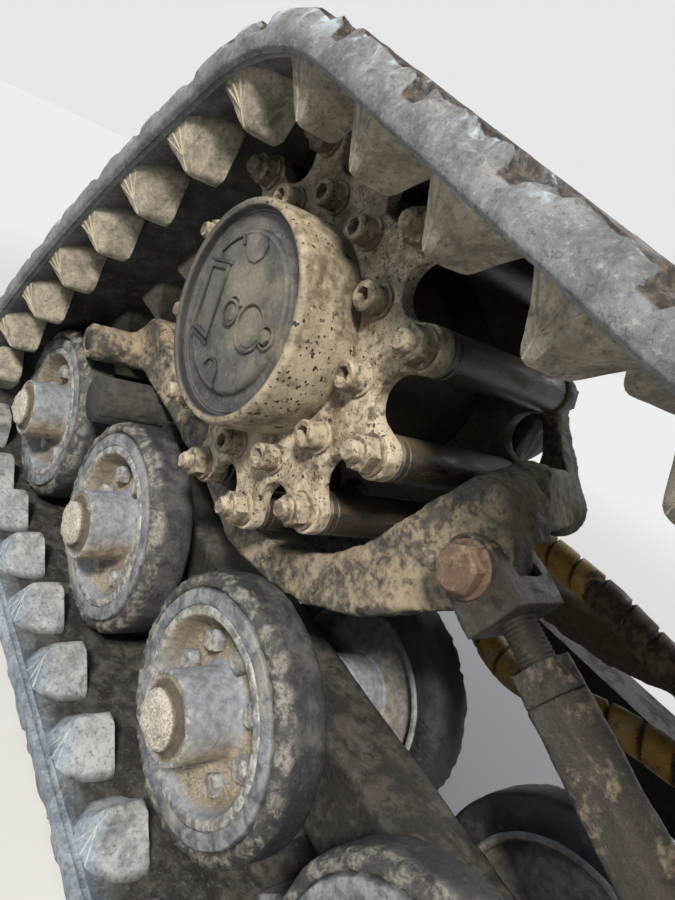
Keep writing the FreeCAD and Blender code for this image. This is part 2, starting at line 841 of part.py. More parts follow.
plateFar = s.tablePlateNear + s.tablePlateThick
casing = turned("casing", [
    (nought, -s.spindleReach), (s.hubBore - s.hubFit, -s.spindleReach), (s.hubBore - s.hubFit, innerFar + s.hubGap),
    (s.motorSeat, innerFar + s.hubGap), (s.motorSeat, plateFar),
    (s.motorRadius, plateFar), (s.motorRadius, s.motorReach - s.motorTail - s.motorTaper),
    (s.motorSeat, s.motorReach - s.motorTail), (s.motorSeat, s.motorReach), (nought, s.motorReach),
])
seat(casing, nought, nought, nought)
ports = doc.addObject("Part::Feature", "ports")
ports.Shape = build_ports()
ports.Placement = Placement(datum, Rotation())
keep(fuse("motor", casing, ports), "drive_motor")

hoses = Part.makeCompound([hose(route, radius) for route, radius in hoseRoutes])
made("drive_hoses", hoses)

bracket = new_body("bracket")
gusset = sketch_on(bracket, "YZ_Plane", "gusset")
railTop = s.mountDepth / 2 - s.swingDrop
railFar = s.mountNear + s.mountWidth
polygon(gusset, [
    (s.mountNear, railTop), (railFar, railTop), (railFar, railTop + s.bracketFoot),
    (s.mountNear - s.bracketFoot, -s.bracketTop), (s.bracketNear, -s.bracketTop), (s.bracketNear, railTop + s.bracketThick),
])
plateUp = bracket.newObject("PartDesign::Pad", "gussetPad")
plateUp.Profile = gusset
bind(plateUp, Length=s.bracketThick)
bracket.Tip = plateUp
seat(bracket, s.bracketAhead, nought, nought)
keep(bracket, "hose_bracket")

pivot = rod("pivot", s.pivotPin, s.pivotBossReach + s.railHalf, -pivotBack, -s.pivotBossReach, -s.pivotDrop)
keep(pivot, "table_pivot_pin")

standTop = s.railDepth / 2 - s.idlerDrop
post = block("post", s.pivotBoss * 2, s.railHalf, s.idlerDrop - s.railDepth / 2 - s.pivotDrop,
             -pivotBack - s.pivotBoss, nought, standTop)
eye = rod("postEye", s.pivotBoss, s.railHalf, -pivotBack, nought, -s.pivotDrop)
bore = rod("postBore", s.pivotPin + s.pinFit, s.railHalf, -pivotBack, nought, -s.pivotDrop)
keep(cut("pivotStand", fuse("pivotPost", post, eye), bore), "table_pivot_bracket")

# Suspension: torsion axles across the rail, saddles under them and the mounting rail
for name, x in (("rear", swingRear), ("front", swingFront)):
    tube = rod(f"{name}Swing", s.swingRadius, s.swingReach + s.mountNear, x, -s.swingReach, -s.swingDrop)
    keep(tube, f"torsion_axle_{name}")
    lift = s.idlerDrop - s.railDepth / 2 - s.swingDrop
    foot = block(f"{name}Saddle", s.saddleLength, s.railHalf * 2, lift, x - s.saddleLength / 2, -s.railHalf, standTop)
    groove = rod(f"{name}Groove", s.swingRadius + s.axleFit, s.railHalf * 2, x, -s.railHalf, -s.swingDrop)
    keep(cut(f"{name}SaddleCut", foot, groove), f"axle_saddle_{name}")
    end = block(f"{name}Flange", s.flangeLength, s.flangeThick, s.flangeDepth, x - s.flangeLength / 2,
                s.mountNear + s.mountWidth, -s.swingDrop - s.flangeDepth / 2)
    bores = []
    for i, (a, b) in enumerate(((-1, -1), (1, -1), (1, 1), (-1, 1))):
        bores.append(rod(f"{name}Bolt{i}", s.flangeHole, s.flangeThick, x + s.flangeHoleX / 2 * a,
                         s.mountNear + s.mountWidth, s.flangeHoleZ / 2 * b - s.swingDrop))
    keep(cut(f"{name}FlangeCut", end, fuse(f"{name}Bores", *bores)), f"mount_flange_{name}")

beam = block("beam", swingFront - swingRear + s.flangeLength, s.mountWidth, s.mountDepth,
             swingRear - s.flangeLength / 2, s.mountNear, -s.swingDrop - s.mountDepth / 2)
keep(beam, "mount_rail")


# Turnbuckle from the saddle's front eye to an anchor on the rail
def hexagon(flats, start, way, length):
    across = Vector(0, 1, 0)
    up = way.cross(across)
    radius = flats / math.sqrt(3)
    corners = []
    for k in range(6):
        turn = math.radians(60 * k + 30)
        corners.append(start + across * (radius * math.cos(turn)) + up * (radius * math.sin(turn)))
    return Part.Face(Part.makePolygon(corners + corners[:1])).extrude(way * length)


def fork(start, way, reach):
    # Two cheeks round the eye and the shoulder that joins them.
    width, cheek, radius = s.forkWidth.value, s.forkCheek.value, s.forkRadius.value
    up = way.cross(Vector(0, 1, 0))
    near = start - Vector(0, width / 2, 0)
    corners = [near + up * radius, near + up * radius + way * reach, near - up * radius + way * reach, near - up * radius]
    block = Part.Face(Part.makePolygon(corners + corners[:1])).extrude(Vector(0, width, 0))
    block = block.fuse(Part.makeCylinder(radius, width, near, Vector(0, 1, 0)))
    gap = width - 2 * cheek
    room = Part.makeCylinder(radius + 6, gap, near + Vector(0, cheek, 0), Vector(0, 1, 0))
    mouth = [near + Vector(0, cheek, 0) + up * side * (radius + 6) + way * (-radius - 6 if back else 4)
             for side, back in ((1, True), (1, False), (-1, False), (-1, True))]
    slot = Part.Face(Part.makePolygon(mouth + mouth[:1])).extrude(Vector(0, gap, 0))
    hole = Part.makeCylinder(s.forkBolt.value + s.pinFit.value, width, near, Vector(0, 1, 0))
    return block.cut([room, slot, hole]).removeSplitter()


def build_turnbuckle():
    start, end, way, span = link_frame()
    lead, nut = s.linkLead.value, s.jamNut.value
    bodyLength = span - lead - s.linkTrail.value
    radius = s.linkRod.value
    reach = s.forkRadius.value * 1.6
    made("turnbuckle_rear_fork", fork(start, way, reach))
    made("turnbuckle_front_fork", fork(end, -way, reach))
    core = hexagon(s.linkFlats.value, start + way * lead, way, bodyLength)
    made("turnbuckle_body", core)
    rear = Part.makeCylinder(radius, lead - reach, start + way * reach, way)
    made("turnbuckle_rear_screw", rear.cut(hexagon(s.linkFlats.value, start + way * (lead - nut), way, nut)))
    after = lead + bodyLength
    front = Part.makeCylinder(radius, span - reach - after, start + way * after, way)
    made("turnbuckle_front_screw", front)
    made("turnbuckle_jam_nut", hexagon(s.linkFlats.value, start + way * (lead - nut), way, nut))
    for label, centre in (("turnbuckle_rear_bolt", start), ("turnbuckle_front_bolt", end)):
        near = centre.y - s.forkWidth.value / 2
        pin = bar(s.forkBolt.value, near, near + s.forkWidth.value, centre.x, centre.z)
        made(label, pin)


build_turnbuckle()


def build_anchor():
    # Upright lug between the front fork's cheeks, welded on the rail's top.
    start, end, way, span = link_frame()
    gap = s.forkWidth.value - 2 * s.forkCheek.value
    near, far = end.y - gap / 2 + 0.5, end.y + gap / 2 - 0.5
    top = standTop.value
    radius = s.forkRadius.value - 2
    above = Part.makeBox(radius * 4, far - near, end.z + radius - top, Vector(end.x - radius * 2, near, top))
    post = slab(bar_outline((end.x, end.z, radius), (end.x, top, radius * 1.5)), near, far).common(above)
    foot = Part.makeBox(radius * 3.6, far + 10 - near, 8, Vector(end.x - radius * 1.8, near, top))
    hole = bar(s.forkBolt.value + s.pinFit.value, near, far, end.x, end.z)
    return post.fuse(foot).cut(hole).removeSplitter()


made("turnbuckle_anchor", build_anchor())

doc.recompute()
for item in doc.Objects:
    if "Invalid" in item.State or "Error" in item.State:
        raise RuntimeError(f"{item.Label} failed: {item.State}")
for item in nodes:
    if item.Shape.isNull() or not item.Shape.isValid():
        raise RuntimeError(f"{item.Label} has no valid shape")
for item in nodes:
    item.Shape.exportStep(f"parts/{item.Label}.step")
print("nodes", len(nodes), "links", linkCount, "spacing", round(spacing, 2), "pin phase", round(pinPhase, 2))
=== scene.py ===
import json
import math
import random

import bmesh
import bpy
from mathutils import Matrix, Vector, noise


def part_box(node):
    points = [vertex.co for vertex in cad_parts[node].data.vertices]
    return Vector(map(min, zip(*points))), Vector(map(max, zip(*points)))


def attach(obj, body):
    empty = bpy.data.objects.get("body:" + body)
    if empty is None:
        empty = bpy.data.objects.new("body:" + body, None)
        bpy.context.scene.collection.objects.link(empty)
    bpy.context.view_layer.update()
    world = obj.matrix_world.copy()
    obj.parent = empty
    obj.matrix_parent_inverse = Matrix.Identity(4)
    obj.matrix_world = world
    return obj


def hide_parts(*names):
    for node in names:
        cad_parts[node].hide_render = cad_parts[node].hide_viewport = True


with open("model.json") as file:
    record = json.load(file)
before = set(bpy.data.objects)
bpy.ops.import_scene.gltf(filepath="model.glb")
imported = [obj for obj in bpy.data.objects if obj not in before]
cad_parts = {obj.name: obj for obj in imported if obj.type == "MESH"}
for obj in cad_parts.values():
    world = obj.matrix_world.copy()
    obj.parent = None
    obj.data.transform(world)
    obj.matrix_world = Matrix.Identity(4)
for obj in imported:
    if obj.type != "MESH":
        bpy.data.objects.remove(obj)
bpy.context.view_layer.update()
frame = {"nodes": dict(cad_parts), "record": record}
undercarriage, sprocket = "undercarriage", "sprocket"

# Row frame, in metres: +X forward, -Y outboard, +Z up
hub = Vector(frame["record"]["behaviour"]["joints"][0]["pos_m"])


def boxCentre(node):
    low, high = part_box(node)
    return (Vector(low) + Vector(high)) / 2


def boxSize(node):
    low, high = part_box(node)
    return Vector(high) - Vector(low)


stations = ["rear_idler"] + [f"roller_{k}" for k in range(1, 7)] + ["front_idler"]
wheelPlaces = {name: boxCentre(f"{name}_axle") for name in stations}
for place in wheelPlaces.values():
    place.y = hub.y


# Meshes

def newObject(name, data):
    item = bpy.data.objects.new(name, data)
    bpy.context.scene.collection.objects.link(item)
    return item


def meshFrom(name, points, faces=(), uvs=None):
    mesh = bpy.data.meshes.new(name)
    mesh.from_pydata([tuple(point) for point in points], [], faces)
    mesh.update()
    if uvs:
        layer = mesh.uv_layers.new(name="UVMap")
        for loop in mesh.loops:
            layer.data[loop.index].uv = uvs[loop.vertex_index]
    return newObject(name, mesh)


def smoothed(item, angle=35):
    item.data.shade_smooth()
    item.data.set_sharp_from_angle(angle=math.radians(angle))
    return item


def cleaned(item, merge=0.0, outward=True):
    # Joins points closer than merge and turns the faces outward.
    form = bmesh.new()
    form.from_mesh(item.data)
    if merge:
        bmesh.ops.remove_doubles(form, verts=form.verts, dist=merge)
    if outward:
        bmesh.ops.recalc_face_normals(form, faces=form.faces)
    form.to_mesh(item.data)
    form.free()
    return item


def gridFaces(rows, columns, closeRows=False, closeColumns=True):
    faces = []
    for i in range(rows if closeRows else rows - 1):
        for j in range(columns if closeColumns else columns - 1):
            a, b = i * columns + j, i * columns + (j + 1) % columns
            c, d = (i + 1) % rows * columns + (j + 1) % columns, (i + 1) % rows * columns + j
            faces.append((a, b, c, d))
    return faces


def tubeFaces(rows, columns):
    # A grid of rings with both ends closed.
    last = (rows - 1) * columns
    return gridFaces(rows, columns) + [tuple(range(columns)), tuple(range(last, last + columns))]


def around(radius, count):
    turns = [2 * math.pi * k / count for k in range(count)]
    return [(radius * math.cos(turn), radius * math.sin(turn)) for turn in turns]


def lathe(name, profile, steps=64, angle=35):
    # Turns a profile of radius and place along Y about the Y axis.
    points = [(r * x, y, r * z) for x, z in around(1, steps) for r, y in profile]
    faces = gridFaces(steps, len(profile), closeRows=True, closeColumns=False)
    return smoothed(cleaned(meshFrom(name, points, faces), 1e-6), angle)


def rounded(profile, radius, count=3):
    # Rounds the corners of a profile, apart from its two ends.
    out = [profile[0]]
    for before, here, after in zip(profile, profile[1:], profile[2:]):
        a, b, c = Vector(before), Vector(here), Vector(after)
        reach = min(radius, (a - b).length / 2.1, (c - b).length / 2.1)
        start, end = b + (a - b).normalized() * reach, b + (c - b).normalized() * reach
        for k in range(count + 1):
            share = k / count
            out.append(tuple(start.lerp(b, share).lerp(b.lerp(end, share), share)))
    out.append(profile[-1])
    return out


def valued(item, name, values):
    # A named value for each point.
    item.data.attributes.new(name, "FLOAT", "POINT").data.foreach_set("value", values)
    return item


def toned(item, name, rule):
    return valued(item, name, [rule(vertex.co) for vertex in item.data.vertices])


def marked(item, name, rule, centre=Vector()):
    # The rule gives the value from the radius about a lateral axis and the place along it.
    def value(place):
        off = place - centre
        return rule(math.hypot(off.x, off.z), off.y)
    return toned(item, name, value)


def lifted(item, rule):
    # Moves the points along their normals.
    vertices = item.data.vertices
    moved = [vertex.co + vertex.normal * rule(vertex.co) for vertex in vertices]
    for vertex, place in zip(vertices, moved):
        vertex.co = place
    item.data.update()
    return item


def roughen(item, amount, scale, seed):
    shift = Vector((seed * 3.7, seed * 1.9, seed * 5.3))
    return lifted(item, lambda place: noise.fractal(place * scale + shift, 0.9, 2.1, 4) * amount)


def joined(name, items):
    bpy.ops.object.select_all(action="DESELECT")
    for item in items:
        item.select_set(True)
    bpy.context.view_layer.objects.active = items[0]
    bpy.ops.object.join()
    items[0].name = name
    return items[0]


def settled(item):
    # Turns what a piece's modifiers make into its own mesh.
    graph = bpy.context.evaluated_depsgraph_get()
    mesh = bpy.data.meshes.new_from_object(item.evaluated_get(graph))
    item.modifiers.clear()
    item.data = mesh
    return item


def nodeCopy(name, node):
    # A merged copy of a CAD node's mesh.
    source = frame["nodes"][node]
    item = newObject(name, source.data.copy())
    item.data.transform(source.matrix_world)
    item.data.materials.clear()
    return cleaned(item, 1e-6, outward=False)


def softened(name, node, voxel, passes):
    # A cast or caked piece: its CAD form remeshed, with rounded edges.
    item = nodeCopy(name, node)
    remesh = item.modifiers.new("remesh", "REMESH")
    remesh.mode, remesh.voxel_size = "VOXEL", voxel
    item.modifiers.new("smooth", "SMOOTH").iterations = passes
    settled(item)
    item.data.shade_smooth()
    return item


# Repeats: a node group that stands a piece on each point, turned as the point says

def repeatGroup():
    group = bpy.data.node_groups.new("repeatPiece", "GeometryNodeTree")
    for name, way, kind in (("Places", "INPUT", "Geometry"), ("Piece", "INPUT", "Object"),
                            ("Finish", "INPUT", "Material"), ("Geometry", "OUTPUT", "Geometry")):
        group.interface.new_socket(name, in_out=way, socket_type=f"NodeSocket{kind}")
    add = group.nodes.new
    start, end = add("NodeGroupInput"), add("NodeGroupOutput")
    source = add("GeometryNodeObjectInfo")
    source.transform_space = "ORIGINAL"
    turn = add("GeometryNodeInputNamedAttribute")
    turn.data_type = "FLOAT_VECTOR"
    turn.inputs["Name"].default_value = "turn"
    toTurn, place = add("FunctionNodeEulerToRotation"), add("GeometryNodeInstanceOnPoints")
    real, paint = add("GeometryNodeRealizeInstances"), add("GeometryNodeSetMaterial")
    for giver, output, taker, target in (
            (start, "Places", place, "Points"), (start, "Piece", source, "Object"),
            (source, "Geometry", place, "Instance"), (turn, "Attribute", toTurn, "Euler"),
            (toTurn, "Rotation", place, "Rotation"), (place, "Instances", real, "Geometry"),
            (real, "Geometry", paint, "Geometry"), (start, "Finish", paint, "Material"),
            (paint, "Geometry", end, "Geometry")):
        group.links.new(giver.outputs[output], taker.inputs[target])
    return group


repeats = repeatGroup()
sockets = {item.name: item.identifier for item in repeats.interface.items_tree if item.in_out == "INPUT"}


def repeated(name, piece, places, material, keep=False):
    # places: matrices that stand the piece, which is made at the origin.
    item = meshFrom(name, [place.translation for place in places])
    turns = item.data.attributes.new("turn", "FLOAT_VECTOR", "POINT")
    for point, place in zip(turns.data, places):
        point.vector = tuple(place.to_euler())
    change = item.modifiers.new("repeat", "NODES")
    change.node_group = repeats
    change[sockets["Piece"]] = piece
    change[sockets["Finish"]] = material
    settled(item)
    if not keep:
        bpy.data.objects.remove(piece)
    return item


def standing(point, along, out):
    # A matrix whose X runs along, Z out and Y across.
    across = out.cross(along)
    turned = Matrix((along, across, out)).transposed()
    return Matrix.Translation(point) @ turned.to_4x4()


def aboutY(centre, radius, count, phase, y=0.0):
    # Places on a circle about a lateral axis, each turned with its radius.
    places = []
    for k in range(count):
        turn = math.radians(phase + 360 / count * k)
        spot = centre + Vector((radius * math.cos(turn), y, radius * math.sin(turn)))
        places.append(Matrix.Translation(spot) @ Matrix.Rotation(-turn, 4, "Y"))
    return places


def part(item, node, finish=None, body=undercarriage):
    # Hands a finished piece over to the frame.
    if finish:
        item.data.materials.append(finishes[finish])
    if node:
        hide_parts(node)
    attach(item, body)


# Finishes

class Graph:
    # A material's node tree with short ways to add to it.
    def __init__(self, name):
        self.material = bpy.data.materials.new(name)
        self.material.use_nodes = True
        self.tree = self.material.node_tree
        self.shader = self.tree.nodes["Principled BSDF"]
        self.place = self.add("TexCoord").outputs["Object"]

    def add(self, kind, inputs=None, **values):
        # inputs: a value or another node's output by name or number.
        node = self.tree.nodes.new(f"ShaderNode{kind}")
        for key, value in values.items():
            setattr(node, key, value)
        for key, value in (inputs or {}).items():
            self.link(value, node.inputs[key])
        return node

    def link(self, source, target):
        if hasattr(source, "is_output"):
            self.tree.links.new(source, target)
        else:
            target.default_value = (*source, 1.0) if target.type == "RGBA" else source

    def noise(self, scale, detail=5.0, rough=0.55, warp=0.0, stretch=None):
        vector = self.place
        if stretch:
            vector = self.add("Mapping", {"Scale": stretch, "Vector": vector}).outputs["Vector"]
        return self.add("TexNoise", {"Scale": scale, "Detail": detail, "Roughness": rough,
                                     "Distortion": warp, "Vector": vector}).outputs["Fac"]

    def ramp(self, value, low, high, start=0.0, end=1.0):
        return self.add("MapRange", {"From Min": low, "From Max": high, "To Min": start, "To Max": end,
                                     "Value": value}, interpolation_type="SMOOTHSTEP").outputs["Result"]

    def math(self, kind, a, b=0.0, clamp=False):
        return self.add("Math", {0: a, 1: b}, operation=kind, use_clamp=clamp).outputs[0]

    def times(self, a, b):
        return self.math("MULTIPLY", a, b)

    def plus(self, a, b):
        return self.math("ADD", a, b)

    def less(self, a, b, clamp=False):
        return self.math("SUBTRACT", a, b, clamp)

    def blend(self, a, b, share):
        return self.plus(self.times(a, 1 - share), self.times(b, share))

    def mix(self, share, a, b):
        return self.add("Mix", {0: share, 6: a, 7: b}, data_type="RGBA").outputs[2]

    def split(self, vector):
        return self.add("SeparateXYZ", {0: vector}).outputs

    def attribute(self, name):
        return self.add("Attribute", attribute_name=name).outputs["Fac"]

    def normal(self):
        return self.split(self.add("NewGeometry").outputs["Normal"])

    def specks(self, *sizes):
        # Spots with wavy edges; sizes: scale of the cells and the spots' share of them.
        spot = 0.0
        for scale, share in sizes:
            drift = self.add("TexNoise", {"Scale": scale * 2.2, "Vector": self.place}).outputs["Color"]
            drift = self.add("VectorMath", {0: drift, "Scale": 0.9 / scale}, operation="SCALE").outputs[0]
            moved = self.add("VectorMath", {0: self.place, 1: drift}, operation="ADD").outputs[0]
            cell = self.add("TexVoronoi", {"Scale": scale, "Vector": moved}).outputs
            size = self.less(self.times(self.split(cell["Color"])[0], share * 1.5), share * 0.5)
            here = self.ramp(self.less(cell["Distance"], size), 0.05, -0.02)
            spot = self.math("MAXIMUM", here, spot)
        return spot

    def bumped(self, layers, bevel=0.0):
        # layers: height value, distance in metres
        last = self.add("Bevel", {"Radius": bevel}, samples=4).outputs["Normal"] if bevel else None
        for value, distance in layers:
            node = self.add("Bump", {"Strength": 1.0, "Distance": distance, "Height": value})
            if last:
                self.link(last, node.inputs["Normal"])
            last = node.outputs["Normal"]
        self.link(last, self.shader.inputs["Normal"])

    def done(self, colour, rough):
        for name, value in (("Base Color", colour), ("Roughness", rough), ("Specular IOR Level", 0.35)):
            self.link(value, self.shader.inputs[name])
        return self.material


def weathered(name, base, dust, grime, dusty=(0.42, 0.62), up=0.12, scale=16.0, grimeFrom=0.58,
              coarse=0.0012, fine=0.0004, rough=(0.62, 0.92), specks=0.0, bevel=0.0, stretch=None):
    # Steel under dust, more of it on what faces up, with dark grime and dark specks.
    g = Graph(name)
    broad = g.noise(scale, 6, 0.62, 0.4, stretch)
    middle = g.noise(scale * 5, 7, 0.65, 0, stretch)
    grain = g.noise(scale * 45, 4, 0.7)
    mask = g.ramp(g.plus(g.blend(broad, middle, 0.45), g.times(g.normal()[2], up)), *dusty)
    colour = g.mix(mask, base, dust)
    colour = g.mix(g.ramp(grain, 0.4, 0.78, 0, 0.32), colour, [min(1.0, c * 1.25) for c in dust])
    dark = g.noise(scale * 2.3, 6, 0.7, 0.6, stretch)
    colour = g.mix(g.ramp(dark, grimeFrom, grimeFrom + 0.12, 0, 0.8), colour, grime)
    roughness = g.ramp(mask, 0, 1, *rough)
    if specks:
        many = g.ramp(g.noise(14), 0.60 - specks * 0.14, 0.74 - specks * 0.14)
        spot = g.times(g.specks((420, 0.40), (170, 0.30)), many)
        colour = g.mix(spot, colour, (0.020, 0.017, 0.014))
        roughness = g.less(roughness, g.times(spot, 0.35), True)
    g.bumped(((broad, coarse * 2), (middle, coarse), (grain, fine)), bevel)
    return g.done(colour, roughness)


# Colours of the metal, its dust and its grime, then what differs from the usual numbers
steels = {
    "frameSteel": ((0.018, 0.017, 0.016), (0.064, 0.056, 0.046), (0.009, 0.008, 0.008), dict(
        dusty=(0.48, 0.66), up=0.05, scale=22, grimeFrom=0.56, coarse=0.0018, fine=0.0008, bevel=0.002)),
    "plateSteel": ((0.125, 0.095, 0.060), (0.40, 0.345, 0.255), (0.036, 0.026, 0.017), dict(
        dusty=(0.41, 0.58), up=0.03, scale=30, grimeFrom=0.54, coarse=0.0007, fine=0.0005, specks=1.6)),
    "oiledSteel": ((0.030, 0.022, 0.015), (0.125, 0.092, 0.056), (0.010, 0.008, 0.006), dict(
        dusty=(0.46, 0.66), rough=(0.35, 0.8), grimeFrom=0.54)),
    "rollerSteel": ((0.018, 0.015, 0.013), (0.105, 0.078, 0.050), (0.006, 0.005, 0.005), dict(
        dusty=(0.54, 0.72), rough=(0.24, 0.66), stretch=(1.0, 0.25, 1.0), coarse=0.0006)),
    "boltSteel": ((0.085, 0.063, 0.041), (0.34, 0.29, 0.21), (0.022, 0.016, 0.012), dict(
        dusty=(0.43, 0.61), up=0.10, scale=40, grimeFrom=0.53, coarse=0.0008, fine=0.0005, specks=0.9)),
    "tableCasting": ((0.048, 0.046, 0.043), (0.27, 0.22, 0.15), (0.018, 0.016, 0.014), dict(
        dusty=(0.44, 0.58), up=0.05, scale=30, grimeFrom=0.53, coarse=0.0018, fine=0.0010, specks=0.6)),
    "linkSteel": ((0.020, 0.017, 0.015), (0.19, 0.155, 0.11), (0.010, 0.009, 0.008), dict(
        dusty=(0.53, 0.66), up=0.03, scale=34, grimeFrom=0.54, rough=(0.40, 0.85), coarse=0.0014,
        fine=0.0008)),
    "boltRust": ((0.085, 0.050, 0.032), (0.20, 0.145, 0.10), (0.020, 0.014, 0.010), dict(
        dusty=(0.46, 0.64), up=0.04, scale=60, grimeFrom=0.54, coarse=0.0008, fine=0.0005)),
    "motorSteel": ((0.020, 0.018, 0.016), (0.10, 0.08, 0.055), (0.010, 0.009, 0.008), dict(
        dusty=(0.52, 0.72))),
    "cakedMud": ((0.030, 0.021, 0.015), (0.120, 0.088, 0.056), (0.010, 0.008, 0.007), dict(
        dusty=(0.40, 0.60), scale=26, coarse=0.0030, fine=0.0012)),
}
finishes = {name: weathered(name, *row[:3], **row[3]) for name, row in steels.items()}


# The belt's loop: arcs round sprocket and idlers, a bow behind, straight runs below and in front

belt = {
    "half": boxSize("track").y / 2, "wrap": 0.192, "bow": 0.015, "cord": 0.0065, "links": 51,
    "pitch": 0.1016, "lead": 0.0115, "midLead": -0.0049, "base": 0.0262, "barRise": 0.0076,
    "notch": 0.007, "bite": 0.011, "barEdge": (0.007, 0.013), "barLead": 0.052, "shoulder": 0.15,
    "innerEdge": 0.1895,
}
wheelRadius = boxSize("roller_1_tyres").z / 2 + 0.0003
rearIdler, frontIdler = wheelPlaces["rear_idler"], wheelPlaces["front_idler"]


def loopPieces():
    wheel, tail, nose = (hub.x, hub.z, belt["wrap"]), (rearIdler.x, rearIdler.z, wheelRadius), (frontIdler.x,
                                                                                                frontIdler.z,
                                                                                                wheelRadius)
    dx, dz = tail[0] - wheel[0], tail[1] - wheel[1]
    span = math.hypot(dx, dz)
    radius = span ** 2 / (8 * belt["bow"])
    a, b = radius - wheel[2], radius - tail[2]
    along = (a * a - b * b + span * span) / (2 * span)
    aside = math.sqrt(a * a - along * along)
    bow = (wheel[0] + (dx * along - dz * aside) / span, wheel[1] + (dz * along + dx * aside) / span, radius)

    def tangent(here, there):
        gap = math.hypot(there[0] - here[0], there[1] - here[1])
        return math.atan2(there[1] - here[1], there[0] - here[0]) - math.acos((here[2] - there[2]) / gap)

    def inwards(outer, inner):
        return math.atan2(inner[1] - outer[1], inner[0] - outer[0])

    entry, below = tangent(nose, wheel), tangent(tail, nose)
    turns = [entry, inwards(bow, wheel), inwards(bow, tail), below, entry]
    pieces = []
    for arc, start, stop in zip((wheel, bow, tail, nose), turns, turns[1:]):
        sweep = (stop - start) % (2 * math.pi)
        pieces.append((arc, start, sweep, (arc[2] + belt["cord"]) * sweep, None))
        if arc in (tail, nose):
            after = nose if arc is tail else wheel
            ends = [Vector((c[0] + c[2] * math.cos(stop), hub.y, c[1] + c[2] * math.sin(stop))) for c in (arc,
                                                                                                          after)]
            pieces.append((arc, stop, 0.0, (ends[1] - ends[0]).length, ends))
    return pieces


loop = loopPieces()
loopLength = sum(piece[3] for piece in loop)
lowest = sum(piece[3] for piece in loop[:3])


def onLoop(travel):
    # Point on the belt's inner face, direction of travel and direction out.
    travel %= loopLength
    for arc, turn, sweep, length, ends in loop:
        if travel <= length:
            turn += sweep * travel / length
            out = Vector((math.cos(turn), 0, math.sin(turn)))
            if ends:
                point = ends[0].lerp(ends[1], travel / length)
            else:
                point = Vector((arc[0], hub.y, arc[1])) + out * arc[2]
            return point, Vector((-out.z, 0, out.x)), out
        travel -= length
    return onLoop(0.0)


def linkPlaces(lead, count=belt["links"]):
    pitch = loopLength / count
    places = []
    for link in range(count):
        point, along, out = onLoop(lowest - lead + link * pitch)
        places.append(standing(point, along, out))
    return places


# Belt body: a profile of side, lift and share of the tread's bars, swept round the loop
base = belt["base"]
beltProfile = [(y, 0.0, 0) for y in (0.0, 0.05, 0.09, 0.13, 0.17)]
beltProfile += [(belt["half"] - inset, lift, share) for inset, lift, share in (
    (0.0125, 0.0, 0), (0.0115, -0.0010, 0), (0.0105, 0.0, 0), (0.0060, 0.0, 0), (0.0050, -0.0009, 0),
    (0.0040, 0.0001, 0), (0.0012, 0.0008, 0), (0.0001, 0.0030, 0), (0.0, 0.0075, 0),
    (0.0001, 0.0130, 0.05), (0.0008, 0.0175, 0.3), (0.0035, 0.0215, 0.6), (0.0070, 0.0245, 0.9),
    (0.0110, base, 1), (0.020, base, 1))]
beltProfile += [(y, base, 1) for y in (0.17, 0.14, 0.11, 0.08, 0.05, 0.02, 0.0)]
pitchStops = (0.0, 0.004, 0.007, 0.010, 0.013, 0.020, 0.030, 0.041, 0.051, 0.062, 0.073, 0.083,
              0.0886, 0.0916, 0.0946, 0.0976)


def fade(value, low, high):
    share = max(0.0, min(1.0, (value - low) / (high - low)))
    return share * share * (3 - 2 * share)


def beltPoint(place, out, y, lift, share, bar):
    # Adds the tread's bars and notches, then bites out of the edge.
    side = math.copysign(1, y) * (abs(y) > belt["shoulder"])
    place = place + out * (lift + share * belt["barRise"] * bar)
    place.y += y - side * share * belt["notch"] * (1 - bar)
    rough = noise.fractal(place * 31.0, 0.8, 2.2, 5)
    bite = max(0.0, rough + 0.10) * belt["bite"] * share * (0.35 + 0.65 * bar)
    return place - out * bite * 0.7 - Vector((0, side * bite, 0))


def makeBelt():
    ring = beltProfile + [(-y, lift, share) for y, lift, share in reversed(beltProfile[1:-1])]
    pitch = loopLength / belt["links"]
    points, mud, worn, inner = [], [], [], []
    for link in range(belt["links"]):
        for stop in pitchStops:
            travel = lowest - belt["barLead"] + link * pitch + stop * pitch / belt["pitch"]
            point, along, out = onLoop(travel)
            bar = fade(min(stop, belt["pitch"] - stop), *belt["barEdge"])
            for y, lift, share in ring:
                points.append(beltPoint(point, out, y, lift, share, bar))
                mud.append(max(share * (1 - bar), 0.62 * fade(share, 0.85, 1.0)))
                # Mask of the tread bars' tops: real wear, later painted with a pale blue sky reflection
                worn.append(share * bar)
                inner.append(1.0 if lift <= 0 and abs(y) < belt["innerEdge"] else 0.0)
    faces = gridFaces(belt["links"] * len(pitchStops), len(ring), closeRows=True)
    item = cleaned(meshFrom("belt", points, faces))
    for name, values in (("mud", mud), ("worn", worn), ("inner", inner)):
        valued(item, name, values)
    return smoothed(item, 60)


# Lugs: pyramids with hollow flanks, whose outer end is a fan of flats down to the belt's edge

lugHeight, lugTip, lugSink = 0.041, 0.005, 0.004
lugRises = (-lugSink, 0.0, 0.0025, 0.006, 0.011, 0.017, 0.023, 0.029, 0.0345, 0.038, 0.0402, lugHeight)
